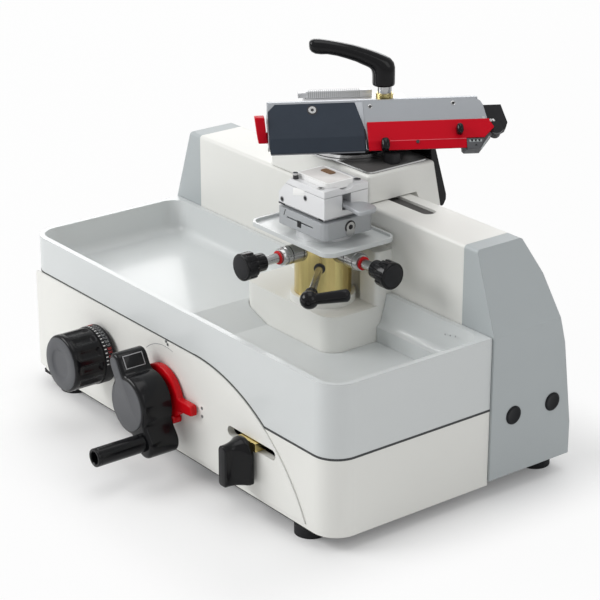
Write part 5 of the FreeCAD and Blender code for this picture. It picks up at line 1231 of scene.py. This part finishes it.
@dataclass
class Selector:
    """The sliding selector's black grip, a domed foot that narrows to a thin fin."""

    back: float = 4.6
    foot: float = 9.1
    front: float = 26.4
    half: float = 13.6
    fin: float = 5.0
    bottom: float = -32.6
    dome_top: float = 5.0
    fin_top: float = 2.6
    corner: float = 2.5
    shoulder: float = 0.9
    narrowing: float = 2.6
    sinking: float = 2.0
    dome_low: float = 4.5
    dome_high: float = 14.0
    tip: float = 1.3

    def ring(self, level: float, half: float, top: float, inset: float) -> list[Vector]:
        """Return one section: straight sides, a flat bottom and a domed top.

        Args:
            level: where the section lies along the grip.
            half: half its width.
            top: its top.
            inset: how far it is drawn in all round.

        Returns:
            The section's points.
        """
        width = half - inset
        low, high = self.bottom + inset, top - inset
        corner = min(width, self.corner)
        rise = min(self.dome_high, max(width, self.dome_low))
        points = (arc((corner - width, low + corner), corner, corner, 180.0, 270.0, 6)
                  + arc((width - corner, low + corner), corner, corner, 270.0, 360.0, 6)
                  + arc((0.0, high - rise), width, rise, 0.0, 180.0, 24))
        return [Vector((across, up, level)) for across, up in points]

    def build(self, shop: Workshop) -> None:
        """Make the grip from sections that narrow towards the front."""
        rings = [self.ring(level, self.half, self.dome_top, inset) for level, inset in (
            (self.back, 0.4), (self.back + 0.4, 0.0), (self.foot - 0.8, 0.0), (self.foot, 0.7))]
        for step in range(13):
            share = step / 12.0
            half = (self.fin + (self.half - self.shoulder - self.fin)
                    * (1.0 - share) ** self.narrowing)
            top = self.fin_top + (self.dome_top - self.fin_top) * (1.0 - share) ** self.sinking
            level = self.foot + 0.3 + share * (self.front - self.foot - self.tip - 0.3)
            rings.append(self.ring(level, half, top, 0.0))
        for out, level in arc((0.0, self.front - self.tip), self.tip, self.tip, 0.0, 90.0, 4)[1:]:
            rings.append(self.ring(level, self.fin, self.fin_top, self.tip - out))
        Piece("selector_grip", Seat.SELECTOR).loft(rings).done(
            shop.look(Look.GLOSS_BLACK), "selector", ("selector_lever",), angle=45.0)


@dataclass
class KnifeUnit:
    """The fine pieces of the knife unit: its screws, pins, ends, bar and swivel."""

    holder_left: float = -71.5
    pin_reach: float = 11.0
    pin_dome: float = 3.0

    def build(self, shop: Workshop) -> None:
        """Make the pieces in order."""
        for make in (self.pins, self.screws, self.ends, self.corner, self.red_lever, self.bar,
                     self.swivel, self.fold):
            make(shop)

    def pins(self, shop: Workshop) -> None:
        """Make the two oblong domed pins on the red guard."""
        pins = Piece("guard_knobs", Seat.FACE)
        shoulder = self.pin_reach - self.pin_dome
        shares = [(0.62, 0.9), (0.62, 3.0), (1.0, 3.7), (1.0, shoulder)]
        shares += arc((TINY, shoulder), 1.0, self.pin_dome, 0.0, 90.0, 6)[1:]
        for across, up, wide, tall in ((23.2, 1.6, 3.5, 5.4), (86.6, 13.2, 2.8, 4.3)):
            pins.loft([[Vector((across + share * wide * side, up + share * tall * rise, level))
                        for side, rise in squircle(40, 0.7)] for share, level in shares])
        pins.done(shop.look(Look.GLOSS_BLACK), "guard", ("guard_pins",), angle=50.0)

    def screws(self, shop: Workshop) -> None:
        """Set the small screws in the dark plate, the silver plate and the guard."""
        shop.stud_rows(
            Seat.FACE, "knife_unit",
            ("dark_screw", [(-34.6, 36.7, 0.05)], 3.2, 0.7, Look.STEEL),
            ("dark_screw_seat", [(-34.6, 36.7, 0.0)], 4.3, 0.06, Look.DARK_STEEL),
            ("dark_screw_slot", [(-34.6, 36.7, 0.7)], 1.5, 0.1, Look.DARK_STEEL, 6))
        heads = Piece("silver_screws", Seat.FACE)
        spots = ((14.1, 38.4), (84.3, 39.3))
        for spot in spots:
            heads.lathe([(0.0, -0.4), (2.0, -0.4), (2.0, 0.14), (1.7, 0.3), (0.0, 0.3)], 32, spot)
        heads.done(shop.look(Look.STEEL), "knife_unit", ("holder_screws",))
        shop.stud_rows(Seat.FACE, "knife_unit", (
            "silver_sockets", [(*spot, 0.3) for spot in spots], 1.35, 0.06, Look.DULL_BLACK, 6))
        shop.stud_rows(Seat.FACE, "guard", (
            "guard_screw", [(51.0, 4.6, 1.6)], 1.6, 1.4, Look.DARK_STEEL, 6))
        shop.stud_rows(Seat.FACE, "knife_unit", (
            "plate_dots", [(108.6, 25.0, 0.0), (114.6, 22.8, -0.6)], 1.3, 0.5, Look.STEEL, 20))

    def ends(self, shop: Workshop) -> None:
        """Make the left end plate with its screws, and the black end block's details."""
        left = self.holder_left
        Piece("holder_end_plate", Seat.FACE).prism(
            [(3.4, -3.4), (36.6, -0.4), (35.8, -12.6), (14.0, -12.6)], left - 1.0, left - 0.05,
            "yz").done(shop.look(Look.SILVER), "knife_unit", bevel=0.25)
        turn = (0.0, -90.0, 0.0)
        shop.stud_rows(
            Seat.FACE, "knife_unit",
            ("end_plate_screw", [(left - 0.9, 6.5, -9.4)], 1.9, 0.2, Look.DARK_STEEL, 32, turn),
            ("end_plate_top_screw", [(left - 0.9, 30.5, -6.0)], 1.8, 0.5, Look.STEEL, 32, turn))
        Piece("end_ball", Seat.FACE).lathe(arc((TINY, 0.0), 2.3, 2.3, -90.0, 90.0, 14), 32).moved(
            Matrix.Translation((117.2, 23.6, -4.2))).done(shop.look(Look.STEEL), "knife_unit")
        Piece("end_knob_lip", Seat.FACE).lathe(
            [(3.6, -0.6), (5.0, -0.6), (5.35, -1.0), (5.35, -3.4), (5.0, -3.8), (3.6, -3.8)], 48,
            (119.1, 16.5)).done(shop.look(Look.GREY_CAP), "knife_unit")

    def corner(self, shop: Workshop) -> None:
        """Make the grey corner block with its light marks and dark notches."""
        block = Piece("corner_body", Seat.FACE)
        block.prism([(88.8, -1.4), (90.6, -3.2), (103.3, -3.2), (114.0, 9.6), (114.0, 12.0),
                     (88.8, 12.0)], -9.0, 0.0)
        block.prism([(92.3, -3.2), (103.3, -3.2), (107.0, 6.4), (92.3, 6.4)], -0.5, 2.2)
        block.done(shop.look(Look.GREY_CAP), "knife_unit", ("corner_block",), bevel=0.3)
        marks = Piece("corner_marks", Seat.FACE)
        marks.block((94.3, 2.8, 2.1), (105.0, 4.9, 2.32))
        marks.done(shop.look(Look.PANEL), "knife_unit", bevel=0.08)
        notches = Piece("corner_notches", Seat.FACE)
        for middle in (96.6, 99.7, 102.8):
            notches.prism([(middle - 1.1, 4.9), (middle + 1.1, 4.9), (middle + 0.5, 3.1),
                           (middle - 0.5, 3.1)], 2.2, 2.42)
        notches.prism([(98.6, -0.6), (100.8, -0.6), (99.7, 1.2)], 2.1, 2.34)
        notches.done(shop.look(Look.DULL_BLACK), "knife_unit")
        Piece("corner_side", Seat.FACE).prism(
            [(103.4, -2.4), (104.8, -2.4), (112.9, 8.6), (111.4, 8.6)], -0.2, 0.28).done(
            shop.look(Look.PANEL), "knife_unit", bevel=0.1)

    def red_lever(self, shop: Workshop) -> None:
        """Make the red release lever with its lower step."""
        lever = Piece("release_handle", Seat.KNIFE)
        stations = ((249.0, -80.2, -72.2, -28.4), (254.4, -81.0, -72.9, -28.6),
                    (256.0, -81.3, -73.6, -29.0), (264.0, -82.4, -74.4, -29.2),
                    (271.5, -83.4, -75.2, -29.4))
        lever.loft([[Vector((low, front, level)), Vector((high, front, level)),
                     Vector((high, -20.6, level)), Vector((low, -20.6, level))]
                    for level, low, high, front in stations])
        lever.lathe([(0.0, -74.2), (2.6, -74.2), (2.6, -66.5), (0.0, -66.5)], 32,
                    (-24.5, 255.0), "x")
        lever.done(shop.look(Look.RED), "blade_release", ("release_lever",), bevel=0.8)

    def bar(self, shop: Workshop) -> None:
        """Make the ribbed rear bar with its light ends."""
        bar = Piece("rear_rail", Seat.KNIFE)
        bar.block((-36.0, 12.0, 274.6), (20.0, 18.0, 280.8))
        bar.block((-43.0, 12.6, 275.2), (-35.6, 17.4, 279.6))
        bar.done(shop.look(Look.ALUMINIUM), "knife_unit", ("rear_bar",), bevel=0.35)
        ribs = Piece("rear_ribs", Seat.KNIFE)
        for index in range(26):
            place = -34.4 + index * 1.72
            ribs.block((place, 11.86, 275.3), (place + 0.8, 12.2, 280.2))
            ribs.block((place, 12.1, 280.6), (place + 0.8, 17.9, 280.92))
        ribs.done(shop.look(Look.BAR_GREY), "knife_unit")

    def swivel(self, shop: Workshop) -> None:
        """Make the swivel's groove line, its black band of painted shade and the foot with its
        screw.
        """
        Piece("swivel_line", Seat.KNIFE).lathe(
            [(36.0, 235.6), (36.9, 235.6), (36.9, 236.3), (36.0, 236.3)], 96).done(
            shop.look(Look.DARK_STEEL), "sledge")
        # A thin black ring: painted shade in the gap between the swivel and the knife base.
        Piece("swivel_shade", Seat.KNIFE).lathe(
            [(32.0, 238.6), (32.75, 238.6), (32.75, 241.8), (32.0, 241.8)], 96).done(
            shop.look(Look.GLOSS_BLACK), "knife_unit")
        shop.stud_row("foot_screw", Seat.MACHINE, [(48.5, 193.6, 237.6)], 2.0, 0.5,
                      Look.DARK_STEEL, "sledge", 24, (90.0, 0.0, 0.0))

    def fold(self, shop: Workshop) -> None:
        """Make the silver plate's slanted left edge, the dark joint and the painted highlight on
        the guard's fold.
        """
        Piece("silver_slant", Seat.FACE).prism(
            [(8.2, 42.6), (1.4, 42.6), (8.2, 18.0)], -0.05, 0.42).done(
            shop.look(Look.SILVER), "knife_unit", bevel=0.1)
        Piece("plate_joint", Seat.FACE).prism(
            [(7.4, 18.4), (8.4, 18.4), (10.6, 0.6), (8.6, 0.6), (8.2, 8.0)], -0.05, 0.5).done(
            shop.look(Look.DULL_BLACK), "knife_unit")
        # A thin paler red line along the guard's fold: a painted highlight on the bend.
        Piece("guard_fold_highlight", Seat.FACE).prism(
            [(5.7, 2.68), (6.25, 2.68), (6.25, 2.76), (5.7, 2.76)], 28.0, 92.0, "yz").done(
            shop.look(Look.RED_FOLD_HIGHLIGHT), "guard")


class SpecimenHead:
    """The fine pieces of the specimen clamp."""

    def build(self, shop: Workshop) -> None:
        """Make the clamp's seams and lines, the painted shade in its gaps, screws, paddle and wax.
        """
        front, side = (90.0, 0.0, 0.0), (0.0, 90.0, 0.0)
        black, dark = Look.DULL_BLACK, Look.DARK_STEEL
        shop.stud_rows(
            Seat.COLUMN, "clamp",
            ("vise_set_screws", [(-21.4, -25.72, 216.4), (9.3, -25.72, 225.4)], 2.5, 0.12,
             Look.EDGE_GREY, 32, front),
            ("vise_set_sockets", [(-21.4, -25.8, 216.4), (9.3, -25.8, 225.4)], 1.8, 0.12, black,
             6, front))
        lines = Piece("clamp_lines_and_gap_shade", Seat.COLUMN)
        lines.prism([(-15.9, 205.0), (-15.1, 205.0), (-12.9, 210.4), (-13.7, 210.4)],
                    -28.62, -28.4, "xz")
        lines.block((2.3, -28.62, 199.9), (7.3, -28.4, 204.9))
        # These two dark strips are painted shade in the gaps on either side of the clamp's neck.
        lines.block((-26.0, -25.9, 212.0), (-17.6, -25.3, 213.2))
        lines.block((26.4, -25.9, 212.0), (32.0, -25.3, 213.2))
        lines.done(shop.look(Look.DULL_BLACK), "clamp")
        seam = Piece("vise_seam", Seat.COLUMN)
        seam.block((-25.9, -25.78, 212.9), (33.9, -25.6, 213.5))
        seam.block((33.9, -25.6, 212.9), (34.08, 18.9, 213.5))
        seam.done(shop.look(Look.EDGE_GREY), "clamp")
        recess = Piece("cover_recess", Seat.COLUMN)
        recess.prism([(-7.0, 223.6), (8.4, 227.6), (8.4, 231.4), (-1.0, 231.4), (-7.0, 229.8)],
                     -25.76, -25.6, "xz")
        recess.done(shop.look(Look.CASSETTE), "clamp", bevel=0.05)
        shop.stud_rows(
            Seat.COLUMN, "clamp",
            ("base_hex_head", [(37.45, -2.0, 204.0)], 4.2, 0.9, Look.STEEL, 32, side),
            ("base_hex_ring", [(37.4, -2.0, 204.0)], 5.4, 0.25, dark, 32, side),
            ("base_hex_socket", [(38.3, -2.0, 204.0)], 2.3, 0.1, black, 6, side),
            ("cover_sockets", [(25.0, -22.4, 237.7), (25.0, 15.0, 237.7)], 1.7, 0.12, black, 6),
            ("cover_pin_core", [(-7.4, -22.5, 236.9)], 2.35, 3.2, dark, 24))
        paddle = Piece("paddle_plate", Seat.COLUMN)
        paddle.prism([(36.0, -7.3), (57.6, -10.2), (59.2, -9.6), (60.0, -8.0), (60.0, 2.6),
                      (59.2, 6.0), (57.0, 8.8), (53.2, 10.4), (46.0, 10.8), (40.6, 9.0),
                      (37.6, 5.4), (36.0, 0.6)], 220.3, 224.1)
        paddle.block((22.0, -7.0, 220.5), (38.0, 0.8, 223.9))
        paddle.lathe([(0.0, -11.9), (1.5, -11.9), (1.5, 5.7), (0.0, 5.7)], 24, (222.2, 28.0), "y")
        paddle.done(shop.look(Look.BLUED), "paddle", ("clamp_paddle",), bevel=0.7)
        wax = Piece("wax_bed", Seat.COLUMN)
        wax.block((-9.4, -17.4, 240.8), (27.4, 7.4, 241.15))
        wax.done(shop.look(Look.WAX), "clamp", bevel=0.15)


@dataclass
class Trim:
    """Thin strips of painted shade in the seams, with grooves and marks on the housings."""

    corner: float = 22.0
    half: float = 215.0
    depth: float = 159.6
    seam_high: float = 107.0
    seam_low: float = 79.0
    seam_turn: float = 37.0
    arch_radius: float = 164.0
    plate_low: Point2 = (-69.2, 162.8)
    plate_high: Point2 = (58.2, 227.2)
    plate_corner: float = 5.0
    plate_level: float = 233.1

    def tray_edge(self, height: float, start: float, stop: float, out: float) -> list[Vector]:
        """Return a path round the tray's outside.

        Args:
            height: the path's height.
            start: where it starts along the front, or a place past the left end for the rear.
            stop: where it ends along the front, or a place past the right end for the rear.
            out: how far it stands off the tray.

        Returns:
            The path.
        """
        half, corner = self.half + out, self.corner + out
        inner = self.half - self.corner
        spots = [(start, -out)]
        if start < -half:
            spots = [(-half, self.depth), (-half, self.corner),
                     *arc((-inner, self.corner), corner, corner, 180.0, 270.0, 12)[1:]]
        if stop > half:
            spots += [*arc((inner, self.corner), corner, corner, -90.0, 0.0, 12),
                      (half, self.depth)]
        else:
            spots.append((stop, -out))
        return [Vector((across, back, height)) for across, back in spots]

    def build(self, shop: Workshop) -> None:
        """Make the painted shade in the seams, the marks in the tray, the plugs, the lip and the
        sledge's rim.
        """
        self.seams(shop)
        shop.stud_row("tray_dimples", Seat.MACHINE,
                      [(170.5, 150.2, 131.0), (176.4, 150.4, 132.0), (182.3, 150.6, 133.0)], 0.7,
                      0.3, Look.EDGE_GREY, "machine", 16, (90.0, 0.0, 0.0))
        caps = Piece("plug_caps", Seat.MACHINE)
        plug = ((0.0, 211.1), (6.9, 211.1), (6.9, 217.0), (7.9, 217.05), (7.9, 217.5),
                (7.2, 218.0), (6.0, 218.15), (5.2, 217.75), (0.0, 218.1))
        for side in (-1.0, 1.0):
            for back in (183.7, 226.4):
                caps.lathe([(radius, side * out) for radius, out in plug], 48, (back, 68.0), "x")
        caps.done(shop.look(Look.PLUG), "machine", ("end_plugs",))
        Piece("base_lip", Seat.MACHINE).block((-203.0, 0.8, 10.4), (192.0, 3.4, 12.05)).block(
            (-203.0, 1.0, 8.2), (-186.0, 4.0, 10.6)).done(
            shop.look(Look.RUBBER), "machine", bevel=0.3)
        Piece("sledge_rim", Seat.MACHINE).strip(self.plate_rim(), UP, 1.5, 0.5).done(
            shop.look(Look.STEEL), "sledge")

    def seams(self, shop: Workshop) -> None:
        """Make the dark strips of painted shade in the seam under the tray, with its arch down to
        the lower right part.
        """
        # Each strip is a flat dark band standing proud: painted shade where the seam's recess falls
        # dark, along the tray and down the arch.
        seams = Piece("tray_seam_shade", Seat.MACHINE)
        far, bend = 1000.0, self.arch_radius - self.seam_high + self.seam_low
        seams.strip(self.tray_edge(self.seam_high + 0.4, -far, self.seam_turn, 0.04), UP, 1.5, 0.2)
        meets = self.seam_turn + math.sqrt(self.arch_radius ** 2 - bend ** 2)
        seams.strip(self.tray_edge(self.seam_low - 0.8, meets + 1.0, far, 0.04), UP, 1.9, 0.2)
        radius = self.arch_radius + 0.7
        curve = arc((0.0, 0.0), radius, radius, 90.0, 55.4, 60)
        centre = Vector((self.seam_turn, -0.02, self.seam_high - self.arch_radius))
        sides = [Vector((across, 0.0, up)) for across, up in curve]
        seams.strip([centre + side for side in sides], sides, 1.3, 0.2)
        seams.done(shop.look(Look.SEAM_SHADE), "machine")

    def plate_rim(self) -> list[Vector]:
        """Return the path of the bright edge round the sledge's dark top plate."""
        corner = self.plate_corner
        left, right = self.plate_low[0] + corner, self.plate_high[0] - corner
        near, far = self.plate_low[1] + corner, self.plate_high[1] - corner
        spots = []
        for centre, first in (((right, near), -90.0), ((right, far), 0.0), ((left, far), 90.0),
                              ((left, near), 180.0)):
            spots += arc(centre, corner + 0.05, corner + 0.05, first, first + 90.0, 6)
        spots.append(spots[0])
        return [Vector((across, back, self.plate_level)) for across, back in spots]


@dataclass
class Studio:
    """The pale floor, the soft lights and the camera at the photograph's angle."""

    eye: Point3 = (1.3153, -0.98457, 0.7795)
    azimuth: float = 52.3
    elevation: float = 21.95
    lens: float = 125.94
    soft: float = 0.45
    glossy: float = 0.25
    footprint: Point3 = (0.20, 0.17, 0.0)
    fade_reach: float = 0.09
    fade_near: float = 0.12
    fade_far: float = 0.94
    lamps: tuple[tuple[str, Point3, float, float, float], ...] = (
        ("key light", (-1.2, -1.6, 1.35), 1.4, 1.0, 29.0),
        ("top light", (0.1, 0.2, 2.1), 1.6, 1.2, 9.0),
        ("side light", (1.9, 0.4, 1.2), 1.0, 1.2, 5.0),
        ("back light", (-1.7, 1.35, 0.95), 1.8, 0.8, 12.0))

    def build(self) -> None:
        """Build the floor, the lights, the world and the camera."""
        scene = bpy.context.scene
        scene.view_settings.view_transform = "Standard"
        self.floor()
        self.world(scene)
        for row in self.lamps:
            self.lamp(*row)
        turn, rise = math.radians(self.azimuth), math.radians(self.elevation)
        ahead = Vector((-math.sin(turn) * math.cos(rise), math.cos(turn) * math.cos(rise),
                        -math.sin(rise)))
        data = bpy.data.cameras.new("photo camera")
        data.lens = self.lens
        data.sensor_width = 36.0
        data.clip_end = 50.0
        camera = bpy.data.objects.new("photo camera", data)
        camera.location = self.eye
        camera.rotation_euler = ahead.to_track_quat("-Z", "Y").to_euler()
        scene.collection.objects.link(camera)
        scene.camera = camera

    def lamp(self, name: str, place: Point3, width: float, height: float,
             power: float) -> None:
        """Add a soft rectangular lamp aimed at the machine.

        Args:
            name: the lamp's name.
            place: where it stands, in metres.
            width: its width in metres.
            height: its height in metres.
            power: its power in watts.
        """
        data = bpy.data.lights.new(name, "AREA")
        data.shape = "RECTANGLE"
        data.size = width
        data.size_y = height
        data.energy = power
        lamp = bpy.data.objects.new(name, data)
        lamp.location = place
        lamp.visible_camera = False
        lamp.rotation_euler = (Vector((0.0, 0.0, 0.15)) - Vector(place)).to_track_quat(
            "-Z", "Y").to_euler()
        bpy.context.scene.collection.objects.link(lamp)

    def floor(self) -> None:
        """Add the pale floor, which fades to the white background away from the machine."""
        shape = bmesh.new()
        bmesh.ops.create_grid(shape, x_segments=1, y_segments=1, size=12.0)
        mesh = bpy.data.meshes.new("floor")
        shape.to_mesh(mesh)
        shape.free()
        tree = Tree("pale floor")
        tree.set("Base Color", (0.93, 0.93, 0.93, 1.0))
        tree.set("Roughness", 0.6)
        tree.set("Specular IOR Level", 0.2)
        maths = "ShaderNodeVectorMath"
        apart = tree.node(maths, {"operation": "ABSOLUTE"}, i0=tree.place)
        beyond = tree.node(maths, {"operation": "SUBTRACT"}, i0=apart.outputs[0],
                           i1=self.footprint)
        outside = tree.node(maths, {"operation": "MAXIMUM"}, i0=beyond.outputs[0])
        length = tree.node(maths, {"operation": "LENGTH"}, i0=outside.outputs[0])
        fade = tree.node("ShaderNodeMapRange", {"interpolation_type": "SMOOTHSTEP"},
                         Value=length.outputs["Value"], From_Min=0.0, From_Max=self.fade_reach,
                         To_Min=self.fade_near, To_Max=self.fade_far)
        seen = Value(tree.tree, tree.node("ShaderNodeLightPath").outputs["Is Camera Ray"])
        white = tree.node("ShaderNodeEmission", Color=WHITE, Strength=BRIGHT)
        mix = tree.node("ShaderNodeMixShader", i0=seen * Value(tree.tree, fade.outputs[0]),
                        i1=tree.surface.outputs[0], i2=white.outputs[0])
        tree.feed(tree.tree.nodes["Material Output"].inputs["Surface"], mix.outputs[0])
        mesh.materials.append(tree.material)
        floor = bpy.data.objects.new("floor", mesh)
        bpy.context.scene.collection.objects.link(floor)

    def world(self, scene: bpy.types.Scene) -> None:
        """Light the world softly and show it white to the camera, and dimly in reflections.

        Args:
            scene: the scene that gets the world.
        """
        world = bpy.data.worlds.new("studio")
        scene.world = world
        world.use_nodes = True
        nodes = Nodes(world.node_tree)
        soft = nodes.tree.nodes["Background"]
        nodes.feed(soft.inputs["Color"], WHITE)
        nodes.feed(soft.inputs["Strength"], self.soft)
        white = nodes.node("ShaderNodeBackground", Color=WHITE, Strength=BRIGHT)
        path = nodes.node("ShaderNodeLightPath")
        seen = Value(nodes.tree, path.outputs["Is Camera Ray"])
        mirrored = Value(nodes.tree, path.outputs["Is Glossy Ray"]) * self.glossy
        mix = nodes.node("ShaderNodeMixShader", i0=seen.maths("MAXIMUM", seen, mirrored),
                         i1=soft.outputs[0], i2=white.outputs[0])
        nodes.feed(nodes.tree.nodes["World Output"].inputs["Surface"], mix.outputs[0])


def main() -> None:
    """Build the studio, dress the frame and add the fine pieces."""
    logging.basicConfig(level=logging.INFO, format="%(message)s")
    shop = Workshop()
    shop.wardrobe.dress_nodes()
    for group in (ThicknessKnob(), FeedCrank(), *TILT_KNOBS, TiltLock(), ClampLever(), Selector(),
                  KnifeUnit(), SpecimenHead(), Trim()):
        group.build(shop)
    Studio().build()


if __name__ == "__main__":
    main()
